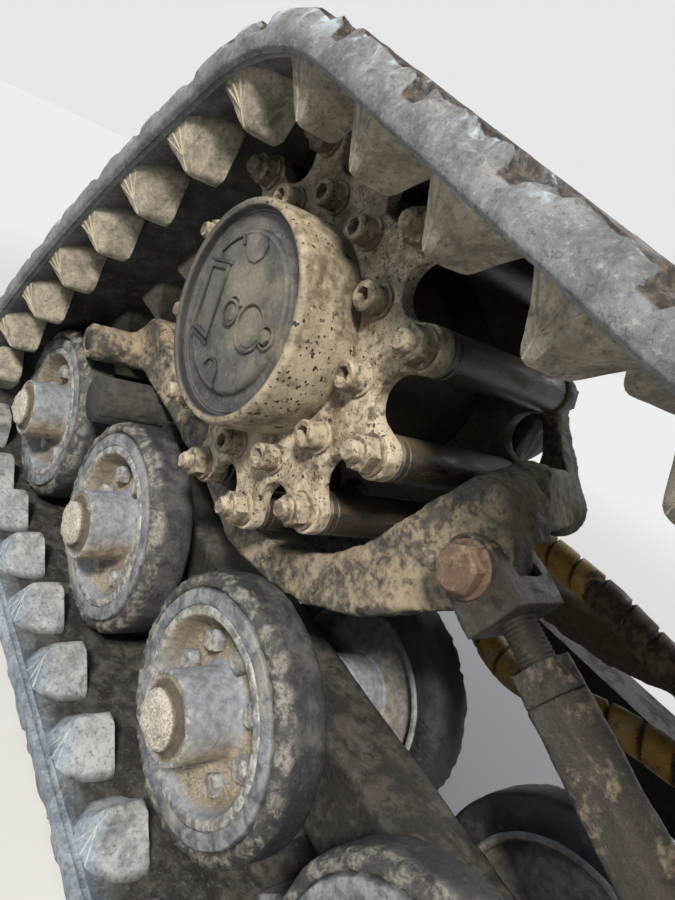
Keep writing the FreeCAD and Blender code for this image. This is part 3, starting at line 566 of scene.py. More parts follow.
# Half outlines round from the inner end: half length and side at the foot, the same at the crest, hollow of the flank
sideLug = [
    (0.000, 0.1368, 0.0000, 0.1410, 1.0), (0.020, 0.1368, 0.0030, 0.1410, 1.0),
    (0.038, 0.1372, 0.0052, 0.1414, 1.1),
    (0.0425, 0.1410, 0.0064, 0.1440, 1.4), (0.0425, 0.1500, 0.0066, 0.1510, 1.55),
    (0.0420, 0.1600, 0.0066, 0.1590, 1.55),
    (0.0400, 0.1700, 0.0064, 0.1660, 1.5), (0.0335, 0.1785, 0.0058, 0.1705, 1.35),
    (0.0260, 0.1855, 0.0050, 0.1735, 1.2),
    (0.0190, 0.1905, 0.0038, 0.1752, 1.0), (0.0110, 0.1912, 0.0022, 0.1758, 1.0),
    (0.000, 0.1915, 0.0000, 0.1760, 1.0),
]
middleLug = [
    (0.000, -0.0535, 0.0000, -0.0415, 1.1), (0.022, -0.0530, 0.0030, -0.0415, 1.1),
    (0.031, -0.0480, 0.0056, -0.0390, 1.3),
    (0.033, -0.0380, 0.0062, -0.0310, 1.4), (0.033, -0.0180, 0.0062, -0.0150, 1.4),
    (0.033, 0.0180, 0.0062, 0.0150, 1.4),
    (0.033, 0.0380, 0.0062, 0.0310, 1.4), (0.031, 0.0480, 0.0056, 0.0390, 1.3),
    (0.022, 0.0530, 0.0030, 0.0415, 1.1),
    (0.000, 0.0535, 0.0000, 0.0415, 1.1),
]
lugRows = {
    # name: lead, outline, side of the belt
    "outerLugs": (belt["lead"], sideLug, -1),
    "middleLugs": (belt["midLead"], middleLug, 1),
    "innerLugs": (belt["lead"], sideLug, 1),
}


# Flash lines on the outer end, from a point among its flats
flash = {
    "apex": (0.0004, 0.1815, 0.0255), "outward": (0.0, 0.93, 0.36), "half": 0.0008, "rise": 0.0013,
    "ends": ((-0.0185, 0.1902, 0.0006), (-0.0065, 0.1912, 0.0004), (0.0070, 0.1912, 0.0004),
             (0.0185, 0.1902, 0.0006), (0.0010, 0.1762, 0.0385)),
}


def makeFlash(side):
    apex, outward = Vector(flash["apex"]), Vector(flash["outward"])
    points, faces = [], []
    for end in map(Vector, flash["ends"]):
        across = (end - apex).cross(outward).normalized() * flash["half"]
        base = len(points)
        for spot in (apex, end):
            for step in (across, outward * flash["rise"], -across):
                place = spot + step
                points.append((place.x, place.y * side, -place.z))
        faces += [(k, k + 3, k + 4, k + 1) for k in (base, base + 1)]
    strips = smoothed(cleaned(meshFrom("flash", points, faces, [(0.5, 0.5)] * len(points))), 20)
    return toned(strips, "flash", lambda p: 1.0)


def makeLug(name, outline, side):
    mirror = [(-foot, u, -crest, v, power) for foot, u, crest, v, power in reversed(outline[1:-1])]
    ring = outline + mirror
    middle = (outline[0][3] + outline[-1][3]) / 2
    half = abs(outline[-1][3] - middle)
    points, uvs = [], []
    for rise in lugRises:
        left = max(0.0, min(1.0, 1 - rise / lugHeight))
        over = max(0.0, rise - lugHeight + lugTip)
        inset = lugTip - math.sqrt(max(0.0, lugTip ** 2 - over ** 2))
        for foot, u, crest, v, power in ring:
            x = (crest + (foot - crest) * left ** power) * (1 - 0.75 * inset / lugTip)
            y = v + (u - v) * left
            y += (middle - y) * inset / half
            points.append((x, y * side, -rise))
            uvs.append((x * 10 + 0.5, rise * 10 + 0.1))
    lug = cleaned(meshFrom(name, points, tubeFaces(len(lugRises), len(ring)), uvs))
    smoothed(lug, 38)
    # Mask for painted shade along the lug's foot where it meets the belt
    toned(lug, "crease", lambda p: fade(-p.z, 0.006, 0.0) * fade(abs(p.y), 0.187, 0.180))
    toned(lug, "fan", lambda p: fade(abs(p.y), 0.1735, 0.1765 + 0.010 * fade(-p.z, lugHeight, 0.0)))
    if outline is sideLug:
        lug = joined(name, [lug, makeFlash(side)])
    return toned(lug, "lug", lambda p: 1.0)


def rubberFinish():
    g = Graph("trackRubber")
    broad, middle = g.noise(9, 6, 0.65, 0.6), g.noise(48, 8, 0.72, 0.4)
    fine, grain = g.noise(240, 6, 0.72), g.noise(900, 3, 0.7)
    # Painted light by height: low on the belt (the lower run) the rubber takes a cool blue painted shade, high up the
    # lugs a cream painted sunlit tone
    low = g.ramp(g.split(g.place)[2], 0.20, 0.04)
    lug, inner, flashed = g.attribute("lug"), g.attribute("inner"), g.attribute("flash")
    dust = g.ramp(g.blend(broad, middle, 0.60), 0.38, 0.62)
    side = g.mix(dust, (0.060, 0.064, 0.070), (0.178, 0.182, 0.185))
    # cream is the lugs' painted sunlit tone; the blue and pale tones below are painted sky-lit shade for the lower
    # run
    cream = g.mix(dust, (0.120, 0.104, 0.078), (0.310, 0.280, 0.220))
    skyShadeBlue = g.mix(dust, (0.080, 0.100, 0.130), (0.225, 0.262, 0.300))
    pale = g.mix(dust, (0.130, 0.140, 0.150), (0.315, 0.330, 0.335))
    pale = g.mix(g.attribute("fan"), pale, skyShadeBlue)
    # Lugs: cream as painted sunlight on the upper run, pale with bluest fan faces as painted shade on the lower run
    colour = g.mix(lug, side, g.mix(low, cream, pale))
    # Belt faces of the lower run painted blue as sky-lit shade
    colour = g.mix(g.times(g.less(1.0, lug), g.times(low, 0.8)), colour, skyShadeBlue)
    # Painted shade: the belt's inner face between the lugs darkened to near black
    floor = g.mix(g.ramp(middle, 0.42, 0.66), (0.014, 0.013, 0.012), (0.058, 0.053, 0.047))
    colour = g.mix(inner, colour, floor)
    light = g.less(g.plus(0.3, g.times(lug, 0.2)), g.times(inner, 0.2))
    colour = g.mix(g.times(g.ramp(fine, 0.54, 0.68), light), colour, (0.44, 0.42, 0.37))
    colour = g.mix(g.ramp(fine, 0.46, 0.36, 0, 0.6), colour, (0.040, 0.037, 0.034))
    stain = g.ramp(g.noise(24, 7, 0.72, 1.2), 0.56, 0.68, 0, 0.6)
    colour = g.mix(stain, colour, (0.050, 0.046, 0.042))
    # Flash lines yellowish above, painted blue as sky-lit shade on the lower run
    line = g.mix(low, (0.42, 0.36, 0.25), (0.38, 0.42, 0.45))
    colour = g.mix(g.times(flashed, 0.35), colour, line)
    # Painted shade: near black in the crease at the lug's foot
    colour = g.mix(g.times(g.attribute("crease"), 0.85), colour, (0.018, 0.016, 0.014))
    # Worn tread bars: real wear, painted pale blue as a sky reflection
    worn = g.ramp(g.noise(30, 6, 0.65, 0.8), 0.50, 0.60, 0, 0.85)
    colour = g.mix(g.times(g.attribute("worn"), worn), colour, (0.36, 0.42, 0.48))
    mud = g.times(g.attribute("mud"), g.ramp(middle, 0.34, 0.50, 0.55, 1.1))
    gravel = g.ramp(g.noise(150, 5, 0.8), 0.42, 0.66)
    gravel = g.mix(gravel, (0.014, 0.011, 0.009), (0.085, 0.066, 0.050))
    colour = g.mix(g.ramp(mud, 0.34, 0.50), colour, gravel)
    g.bumped(((broad, 0.0016), (middle, 0.0012), (fine, 0.0007), (grain, 0.0003)))
    return g.done(colour, g.ramp(dust, 0, 1, 0.58, 0.92))


finishes["trackRubber"] = rubberFinish()
beltBody = roughen(makeBelt(), 0.0007, 70.0, 1)
beltBody.data.materials.append(finishes["trackRubber"])
lugItems = []
for name, (lead, outline, side) in lugRows.items():
    row = repeated(name, makeLug(name, outline, side), linkPlaces(lead), finishes["trackRubber"])
    lugItems.append(roughen(row, 0.0006, 60.0, 2))
track = joined("beltAndLugs", [beltBody] + lugItems)
part(track, "track")
print("track", len(track.data.polygons))


# Wheels: rubber tyre on a dished disc with a tubular hub

wheel = {
    "tyreInner": 0.096, "near": 0.069, "width": 0.050, "hubRadius": 0.0407, "hubEnd": 0.151,
    "bolts": 8, "boltCircle": 0.0625, "boltInset": 0.0250, "chewed": 0.1115, "capReach": 0.011,
    "shaft": (0.022, 0.046),
}
wheelFar, hubEnd, chewed = wheel["near"] + wheel["width"], wheel["hubEnd"], wheel["chewed"]


def tyreProfile():
    # Inner side, crown, torn outer shoulder and the smooth ring of the outer side.
    outer, near, inner = wheelRadius - 0.0003, wheel["near"], wheel["tyreInner"]
    foot = (inner, near + 0.002)
    edge = [foot, (inner + 0.004, near), (outer - 0.006, near), (outer - 0.0012, near + 0.005)]
    crown = [(outer - 0.0004, near + wheel["width"] * share) for share in (0.2, 0.36, 0.5, 0.62)]
    torn = [(outer - cut, wheelFar - inset) for cut, inset in (
        (0.0006, 0.0145), (0.0010, 0.0115), (0.0018, 0.0085), (0.0034, 0.0055), (0.0058, 0.0030),
        (0.0084, 0.0014), (0.0112, 0.0010))]
    ring = [(chewed + step, wheelFar - inset) for step, inset in (
        (0.0022, 0.0020), (0.0006, 0.0046), (-0.0004, 0.0030), (-0.0020, 0.0004), (-0.008, 0.0))]
    return edge + crown + torn + ring + [(inner + 0.002, wheelFar), (inner, wheelFar - 0.001), foot]


def discProfile():
    # From the hub's outer end inwards: dirty cap, tube, recessed disc and rim lip.
    near, far, r, rim = wheel["near"], wheelFar, wheel["hubRadius"], wheel["tyreInner"]
    reach = hubEnd + wheel["capReach"]
    plug = [(0.0, 0.0010), (0.010, 0.0), (0.0195, 0.0006), (0.0245, 0.0030), (0.0265, 0.0075)]
    mouth = [(0.0270, -0.0010), (0.0290, 0.0010), (0.0335, 0.0018), (0.0362, 0.0024),
             (0.0370, 0.0004), (r - 0.0014, 0.0), (r, 0.0016), (r, 0.016), (r, 0.034)]
    dish = [(r, 0.019), (r + 0.0030, 0.0245), (0.050, 0.0265), (0.058, 0.0270), (0.070, 0.0265),
            (0.0775, 0.0225), (0.0815, 0.0150), (0.0845, 0.0060), (0.0862, 0.0010),
            (0.0885, -0.0002), (rim, 0.0003)]
    back = [(rim, near), (rim - 0.007, near), (rim - 0.008, far - 0.034), (r, far - 0.036),
            (r, 0.044), (0.022, 0.044), (0.0, 0.044)]
    shape = []
    for start, rows in ((reach, plug), (hubEnd, mouth), (far, dish)):
        shape += [(radius, start - inset) for radius, inset in rows]
    return rounded(shape + back, 0.002, 1)


def mirrored(item):
    copy = newObject(item.name, item.data.copy())
    copy.data.transform(Matrix.Scale(-1, 4, Vector((0, 1, 0))))
    return cleaned(copy)


def caked(item, centre, seed, rule):
    # The rule gives the lift from radius, side, height over the axis and a spot in the noise.
    shift = Vector((seed * 2.3, seed * 1.7, seed * 0.9))

    def lift(place):
        off = place - centre
        return rule(math.hypot(off.x, off.z), abs(off.y), off.z, place + shift)
    return lifted(item, lift)


def tornRule(r, y, height, spot):
    torn = fade(r, chewed - 0.0005, chewed + 0.003) * fade(y, wheelFar - 0.018, wheelFar - 0.009)
    rough = noise.fractal(spot * 165.0, 0.75, 2.2, 4)
    lumps = noise.fractal(spot * 42.0, 0.8, 2.1, 3)
    return torn * (0.0022 * rough - 0.0030 * max(0.0, lumps)) + 0.0006 * lumps


def dirtRule(r, y, height, spot):
    lumps = noise.fractal(spot * 62.0, 0.8, 2.1, 4)
    fine = noise.fractal(spot * 210.0, 0.8, 2.1, 3)
    dish = fade(r, 0.043, 0.052) * fade(r, 0.087, 0.078) * fade(y, 0.080, 0.088)
    cap = fade(r, 0.0366, 0.034) * fade(y, hubEnd - 0.008, hubEnd - 0.004)
    low = fade(-height, 0.015, 0.065)
    rough = 0.0006 * fine
    return dish * (0.0016 * lumps + rough + 0.0070 * low) + cap * (0.0021 * lumps + rough) + rough / 2


def hexReach(turn):
    # How far a hexagon's edge lies in a direction, its flats at 1.
    return 1 / math.cos((turn + math.pi / 6) % (math.pi / 3) - math.pi / 6)


def hexNut(name, flats, height, chamfer=0.0015):
    # A hexagon standing along -Y from the origin.
    levels = [(0.97, 0.0), (1.0, -chamfer * 0.4), (1.0, chamfer - height), (0.90, -height), (0.001, -height)]
    points = []
    for size, y in levels:
        for k in range(24):
            turn = math.pi / 12 * k
            reach = flats / 2 * size * (hexReach(turn) if size > 0.95 else 1)
            points.append((reach * math.cos(turn), y, reach * math.sin(turn)))
    return smoothed(cleaned(meshFrom(name, points, tubeFaces(len(levels), 24))), 30)


def tyreFinish():
    g = Graph("tyreRubber")
    broad, middle = g.noise(11, 6, 0.62, 0.5), g.noise(60, 8, 0.72, 0.4)
    fine, grain = g.noise(260, 6, 0.72), g.noise(1000, 3, 0.7)
    dust = g.ramp(g.blend(broad, middle, 0.5), 0.44, 0.64)
    colour = g.mix(g.times(dust, 0.8), (0.022, 0.023, 0.027), (0.088, 0.085, 0.080))
    colour = g.mix(g.ramp(fine, 0.56, 0.72, 0, 0.35), colour, (0.17, 0.16, 0.15))
    crust = g.mix(g.ramp(middle, 0.44, 0.62), (0.036, 0.035, 0.034), (0.195, 0.182, 0.158))
    crust = g.mix(g.ramp(fine, 0.50, 0.38, 0, 0.7), crust, (0.024, 0.022, 0.020))
    colour = g.mix(g.attribute("chew"), colour, crust)
    smooth = g.mix(g.ramp(middle, 0.38, 0.62), (0.070, 0.078, 0.090), (0.215, 0.222, 0.225))
    smooth = g.mix(g.ramp(broad, 0.54, 0.66, 0, 0.6), smooth, (0.27, 0.25, 0.21))
    smooth = g.mix(g.ramp(fine, 0.46, 0.36, 0, 0.5), smooth, (0.040, 0.040, 0.042))
    colour = g.mix(g.attribute("ring"), colour, smooth)
    g.bumped(((broad, 0.0016), (middle, 0.0014), (fine, 0.0008), (grain, 0.0003)))
    return g.done(colour, g.ramp(dust, 0, 1, 0.46, 0.88))


def discFinish():
    g = Graph("wheelSteel")
    broad, middle, fine = g.noise(22, 6, 0.65, 0.5), g.noise(110, 8, 0.72, 0.2), g.noise(420, 6, 0.72)
    dirt = g.attribute("dirt")
    # Faces turned up take a painted cool blue sky tint on the steel; faces turned down turn tan
    skyTintedSteel = g.mix(g.ramp(middle, 0.34, 0.66), (0.120, 0.132, 0.152), (0.235, 0.250, 0.270))
    tan = g.mix(g.ramp(middle, 0.36, 0.64), (0.155, 0.125, 0.088), (0.335, 0.285, 0.21))
    colour = g.mix(g.less(1.0, g.ramp(g.normal()[2], -0.45, 0.55)), skyTintedSteel, tan)
    crust = g.mix(g.ramp(fine, 0.34, 0.66), (0.125, 0.103, 0.076), (0.315, 0.272, 0.205))
    crust = g.mix(g.ramp(broad, 0.40, 0.56, 0.6, 0.0), crust, (0.075, 0.062, 0.046))
    colour = g.mix(g.times(dirt, g.ramp(broad, 0.30, 0.45, 0.65, 1.0)), colour, crust)
    lip = g.mix(g.ramp(middle, 0.42, 0.62), (0.10, 0.10, 0.10), (0.34, 0.33, 0.30))
    colour = g.mix(g.times(g.attribute("lip"), 0.85), colour, lip)
    plug = g.mix(g.ramp(fine, 0.36, 0.60), (0.17, 0.15, 0.125), (0.40, 0.37, 0.32))
    colour = g.mix(g.attribute("plug"), colour, plug)
    # Painted shade: the groove round the hub plug darkened
    colour = g.mix(g.attribute("groove"), colour, (0.050, 0.040, 0.029))
    colour = g.mix(g.ramp(fine, 0.62, 0.76, 0, 0.4), colour, (0.46, 0.42, 0.35))
    stain = g.ramp(g.noise(44, 7, 0.75, 0.8), 0.60, 0.72, 0, 0.7)
    colour = g.mix(stain, colour, (0.045, 0.040, 0.034))
    g.bumped(((broad, 0.0010), (middle, 0.0009), (fine, 0.0005)))
    return g.done(colour, g.ramp(dirt, 0, 1, 0.55, 0.92))


finishes["tyreRubber"], finishes["wheelSteel"] = tyreFinish(), discFinish()


tyre = lathe("tyre", tyreProfile(), 144, 50)
marked(tyre, "chew", lambda r, y: fade(r, wheel["chewed"] - 0.0002, wheel["chewed"] + 0.0015) * fade(y,
                                                                                                     wheelFar - 0.017, wheelFar - 0.010))
marked(tyre, "ring", lambda r, y: fade(r, wheel["chewed"] + 0.0004, wheel["chewed"] - 0.0008) * fade(y,
                                                                                                     wheelFar - 0.004, wheelFar - 0.001))
disc = lathe("disc", discProfile(), 80, 32)
marked(disc, "dirt", lambda r, y: max(fade(r, 0.042, 0.050) * fade(r, 0.086, 0.080),
                                      fade(r, 0.0370, 0.0355)) * fade(y, 0.08, 0.09))
marked(disc, "lip", lambda r, y: max(fade(r, 0.085, 0.088) * fade(y, wheelFar - 0.006, wheelFar - 0.001),
                                     fade(r, 0.0364, 0.0372) * fade(y, wheel["hubEnd"] - 0.003,
                                                                    wheel["hubEnd"] - 0.001)))
marked(disc, "plug", lambda r, y: fade(r, 0.0262, 0.0252) * fade(y, wheel["hubEnd"] - 0.006,
                                                                 wheel["hubEnd"] - 0.002))
marked(disc, "groove", lambda r, y: 0.8 * fade(r, 0.0254, 0.0268) * fade(r, 0.0350, 0.0330) * fade(y,
                                                                                                   wheel["hubEnd"] - 0.008, wheel["hubEnd"] - 0.005))
bolt = hexNut("wheelBolt", 0.0200, 0.0115, 0.0026)
marked(bolt, "lip", lambda r, y: 0.7 * fade(-y, 0.003, 0.009))
otherTyre, otherDisc = mirrored(tyre), mirrored(disc)
for index, name in enumerate(stations):
    centre = wheelPlaces[name]
    rng = random.Random(index)
    here = [Matrix.Translation(centre) @ Matrix.Rotation(rng.uniform(0, 2), 4, "Y")]
    sides = [repeated(f"{name}Side", item, here, finishes["tyreRubber"], True) for item in (tyre, otherTyre)]
    pair = caked(joined(f"{name}Tyres", sides), centre, index, tornRule)
    part(pair, f"{name}_tyres")
    sides = [repeated(f"{name}Side", item, here, finishes["wheelSteel"], True) for item in (disc, otherDisc)]
    pair = caked(joined(f"{name}Discs", sides), centre, index + 20, dirtRule)
    spots = aboutY(centre, wheel["boltCircle"], wheel["bolts"], rng.uniform(0, 45), -(wheelFar - 0.0250))
    bolts = roughen(repeated(f"{name}Bolts", bolt, spots, finishes["wheelSteel"], True), 0.0009, 110.0, index)
    shaft = lathe("shaft", [(0.0, -0.046), (0.022, -0.046), (0.022, 0.046), (0.0, 0.046)], 32)
    shaft = repeated("shaft", shaft, here, finishes["wheelSteel"])
    part(joined(f"{name}Wheels", [pair, bolts, shaft]), f"{name}_axle")
for item in (tyre, disc, bolt, otherTyre, otherDisc):
    bpy.data.objects.remove(item)
print("wheels")


# Sprocket

gear = {
    "pins": 12, "circle": 0.1675, "phase": 18.05, "boss": 0.019, "web": 0.160, "dip": 0.0233,
    "dipCircle": 0.1618,
    "outerFace": -0.1065, "innerNear": 0.0635, "plate": 0.015, "bore": 0.070, "roller": 0.019,
    "pinRadius": 0.009,
    "capRadius": 0.0975, "capEnd": -0.1657, "bolts": 12, "boltCircle": 0.1173, "boltPhase": 122.87,
}


def plateOutline(samples=480):
    # Radius of the plate's edge by direction: the boss, or the near side of the dip.
    points = []
    for k in range(samples):
        turn = 2 * math.pi * k / samples
        pitch = 2 * math.pi / gear["pins"]
        off = (turn - math.radians(gear["phase"]) + pitch / 2) % pitch - pitch / 2
        aside = gear["circle"] * math.sin(off)
        if abs(aside) < gear["boss"]:
            radius = gear["circle"] * math.cos(off) + math.sqrt(gear["boss"] ** 2 - aside ** 2)
        else:
            radius = gear["web"]
        dipOff = abs(off) - pitch / 2
        dipAside = gear["dipCircle"] * math.sin(dipOff)
        if abs(dipAside) < gear["dip"]:
            radius = min(radius, gear["dipCircle"] * math.cos(dipOff) - math.sqrt(gear["dip"] ** 2 - dipAside ** 2))
        points.append((radius * math.cos(turn), radius * math.sin(turn)))
    return points


def slab(name, outlines, thick, bevel=0.002):
    # A plate with rounded edges from closed outlines in the XZ plane, centred on Y = 0.
    curve = bpy.data.curves.new(name, "CURVE")
    curve.dimensions = "2D"
    curve.fill_mode = "BOTH"
    for outline in outlines:
        spline = curve.splines.new("POLY")
        spline.points.add(len(outline) - 1)
        for point, (x, z) in zip(spline.points, outline):
            point.co = (x, z, 0, 1)
        spline.use_cyclic_u = True
    curve.extrude = thick / 2 - bevel
    curve.bevel_depth = bevel
    curve.bevel_resolution = 2
    curve.offset = -bevel
    holder = newObject(name, curve)
    graph = bpy.context.evaluated_depsgraph_get()
    mesh = bpy.data.meshes.new_from_object(holder.evaluated_get(graph))
    bpy.data.objects.remove(holder)
    mesh.transform(Matrix.Rotation(math.pi / 2, 4, "X"))
    return smoothed(cleaned(newObject(name, mesh), 1e-5), 30)


def atHub(item, y):
    item.data.transform(Matrix.Translation(hub + Vector((0, y, 0))))
    return item


for name, node, finish, near in (
        ("outerPlate", "sprocket_outer_plate", "plateSteel", gear["outerFace"]),
        ("innerPlate", "sprocket_inner_plate", "oiledSteel", gear["innerNear"])):
    plate = slab(name, [plateOutline(), around(gear["bore"], 72)], gear["plate"])
    part(atHub(plate, near + gear["plate"] / 2), node, finish, sprocket)

# Bolts: socket heads on washers round the hub cap
head = {"radius": 0.0118, "length": 0.0165, "socket": 0.0062, "depth": 0.009, "washer": 0.0145,
        "washerThick": 0.003}


def makeBolt():
    r, thick, length = head["radius"], head["washerThick"], head["length"]
    washer = lathe("washer", rounded([(0.0, 0.0), (head["washer"], 0.0), (head["washer"], -thick),
                                      (0.0, -thick)], 0.0008, 2), 32)
    levels = [(r, -thick), (r, -thick - length + 0.0015), (r - 0.0015, -thick - length)]
    points = []
    for radius, y in levels:
        points += [(x, y, z) for x, z in around(radius, 24)]
    for y, size in ((-thick - length, 1.0), (-thick - length + head["depth"], 1.0),
                    (-thick - length + head["depth"], 0.01)):
        for k in range(24):
            turn = math.pi / 12 * k
            reach = head["socket"] * hexReach(turn) * size
            points.append((reach * math.cos(turn), y, reach * math.sin(turn)))
    body = smoothed(cleaned(meshFrom("boltHead", points, gridFaces(6, 24))), 35)
    return joined("bolt", [washer, body])


bolts = repeated("bolts", makeBolt(), aboutY(hub, gear["boltCircle"], gear["bolts"], gear["boltPhase"],
                                             gear["outerFace"]),
                 finishes["boltSteel"])
roughen(bolts, 0.0006, 150.0, 5)
part(bolts, None, body=sprocket)

# Pins: threaded end and nut outboard, head inboard
pinEnd = -0.132


def makePin():
    face, back = gear["outerFace"], gear["innerNear"] + gear["plate"]
    washer = lathe("washer", [(0.0, face), (0.0165, face), (0.0165, face - 0.003), (0.0, face - 0.003)], 32)
    nutItem = hexNut("nut", 0.026, 0.013)
    nutItem.data.transform(Matrix.Translation((0, face - 0.003, 0)))
    thread = [(0.0, face - 0.016)]
    y = face - 0.016
    while y > pinEnd + 0.003:
        thread += [(0.0088, y), (0.0078, y - 0.0008)]
        y -= 0.0016
    thread += [(0.0065, pinEnd), (0.0, pinEnd)]
    end = lathe("thread", thread, 24, 20)
    shank = lathe("shank", [(0.0, face), (gear["pinRadius"], face), (gear["pinRadius"], back), (0.0, back)],
                  20)
    headItem = hexNut("head", 0.026, 0.011)
    headItem.data.transform(Matrix.Translation((0, back, 0)) @ Matrix.Rotation(math.pi, 4, "X"))
    return joined("pin", [washer, nutItem, end, shank, headItem])


pins = repeated("pins", makePin(), aboutY(hub, gear["circle"], gear["pins"], gear["phase"]),
                finishes["boltSteel"])
roughen(pins, 0.0006, 140.0, 6)
part(pins, "sprocket_pins", body=sprocket)


def makeRoller():
    near, far, r = gear["outerFace"] + gear["plate"] + 0.0003, gear["innerNear"] - 0.0003, gear["roller"]
    shape = [(0.0095, near), (r - 0.002, near), (r, near + 0.002), (r, near + 0.006),
             (r - 0.0012, near + 0.0068),
             (r - 0.0012, near + 0.0080), (r - 0.0003, near + 0.009), (r - 0.0004, far - 0.009),
             (r - 0.002, far - 0.001),
             (0.0095, far)]
    return lathe("roller", shape, 48, 30)


rollers = repeated("rollers", makeRoller(), aboutY(hub, gear["circle"], gear["pins"], gear["phase"]),
                   finishes["rollerSteel"])
part(rollers, "sprocket_rollers", body=sprocket)

drum = lathe("drum", [(gear["bore"], -0.0915), (0.098, -0.0915), (0.098, 0.0635), (gear["bore"], 0.0635),
                      (gear["bore"], -0.0915)], 72)
part(atHub(drum, 0.0), "sprocket_drum", "oiledSteel", body=sprocket)

# Hub cap: side wall, flat rim, a sunk ring and a disc with raised shapes
cap = {"rim": 0.009, "sink": 0.0095, "disc": 0.0705, "face": 0.0050}


def makeCap():
    r, end, face = gear["capRadius"], gear["capEnd"], gear["outerFace"]
    floor, top, disc = end + cap["sink"], end + cap["face"], cap["disc"]
    inner = r - cap["rim"]
    shape = [(0.0, face), (r, face), (r, end + 0.030), (r - 0.0006, end + 0.004), (r - 0.003, end),
             (inner + 0.002, end), (inner, end + 0.002),
             (inner - 0.0004, floor - 0.002), (inner - 0.0024, floor - 0.0004),
             (inner - 0.0032, floor - 0.0016), (inner - 0.0044, floor),
             (disc + 0.0015, floor), (disc - 0.0005, top + 0.001), (disc - 0.003, top - 0.0008),
             (disc - 0.0048, top), (0.0, top)]
    return lathe("capBody", rounded(shape, 0.0012, 2), 128, 40)


capBody = makeCap()
lifts = []
coverY = gear["capEnd"] + cap["face"]


def raised(name, outlines, height=0.0024):
    item = slab(name, outlines, height * 2, 0.0005)
    item.data.transform(Matrix.Translation((0, coverY, 0)))
    lifts.append(item)


def disk(radius, x, z, count=40):
    return [(x + a, z + b) for a, b in around(radius, count)]


def strip(line, width=0.0022):
    # A band along an open line.
    left, right = [], []
    for k, point in enumerate(line):
        before, after = Vector(line[max(0, k - 1)]), Vector(line[min(len(line) - 1, k + 1)])
        way = (after - before).normalized()
        side = Vector((-way.y, way.x)) * width / 2
        left.append(tuple(Vector(point) + side))
        right.append(tuple(Vector(point) - side))
    return left + right[::-1]


def arcLine(x, z, radius, start, end, count=16):
    turns = [math.radians(start + (end - start) * k / count) for k in range(count + 1)]
    return [(x + radius * math.cos(turn), z + radius * math.sin(turn)) for turn in turns]


raised("largeRing", [disk(0.0215, 0.031, -0.002), disk(0.0190, 0.031, -0.002)])
raised("largePlug", [disk(0.0165, 0.031, -0.002)], 0.0008)
raised("smallRing", [disk(0.0120, -0.005, -0.003), disk(0.0095, -0.005, -0.003)])
raised("smallPlug", [disk(0.0070, -0.005, -0.003)], 0.0010)
raised("hook", [strip([(-0.013, 0.0075), (-0.006, 0.0125), (0.003, 0.0115), (0.007, 0.0070)])])
raised("levelPlug", [disk(0.0105, 0.059, 0.001), disk(0.0080, 0.059, 0.001)], 0.0030)
raised("levelPlugHead", [disk(0.0062, 0.059, 0.001, 6)], 0.0050)
padEdge = [(-0.0650, 0.0230), (-0.0340, 0.0300), (-0.0250, -0.0370), (-0.0560, -0.0360)]
raised("pad", [padEdge, [(-0.0610, 0.0195), (-0.0368, 0.0250), (-0.0285, -0.0325), (-0.0535, -0.0320)]])
raised("padTop", [strip([(-0.0680, 0.0250), (-0.0320, 0.0325)], 0.0030)], 0.0026)
raised("padFoot", [strip([(-0.0580, -0.0390), (-0.0220, -0.0400)], 0.0030)], 0.0026)
raised("fin", [strip(arcLine(0.0, 0.0, 0.0655, 118, 148) + [(-0.0500, 0.0300)])])
raised("finFoot", [strip([(-0.0305, 0.0580), (-0.0240, 0.0515)])])
raised("lobe", [[(-0.024, 0.0600), (-0.020, 0.0480), (-0.010, 0.0425), (0.001, 0.0435), (0.009, 0.0510),
                 (0.011, 0.0620),
                 (0.004, 0.0655), (-0.010, 0.0662)]], 0.0018)
raised("tail", [strip(arcLine(-0.001, -0.0565, 0.0115, 175, 10) + [(0.0115, -0.0625), (0.016, -0.0655)])])
capItem = joined("hubCap", [capBody] + lifts)
atHub(capItem, 0.0)
roughen(capItem, 0.00035, 90.0, 7)


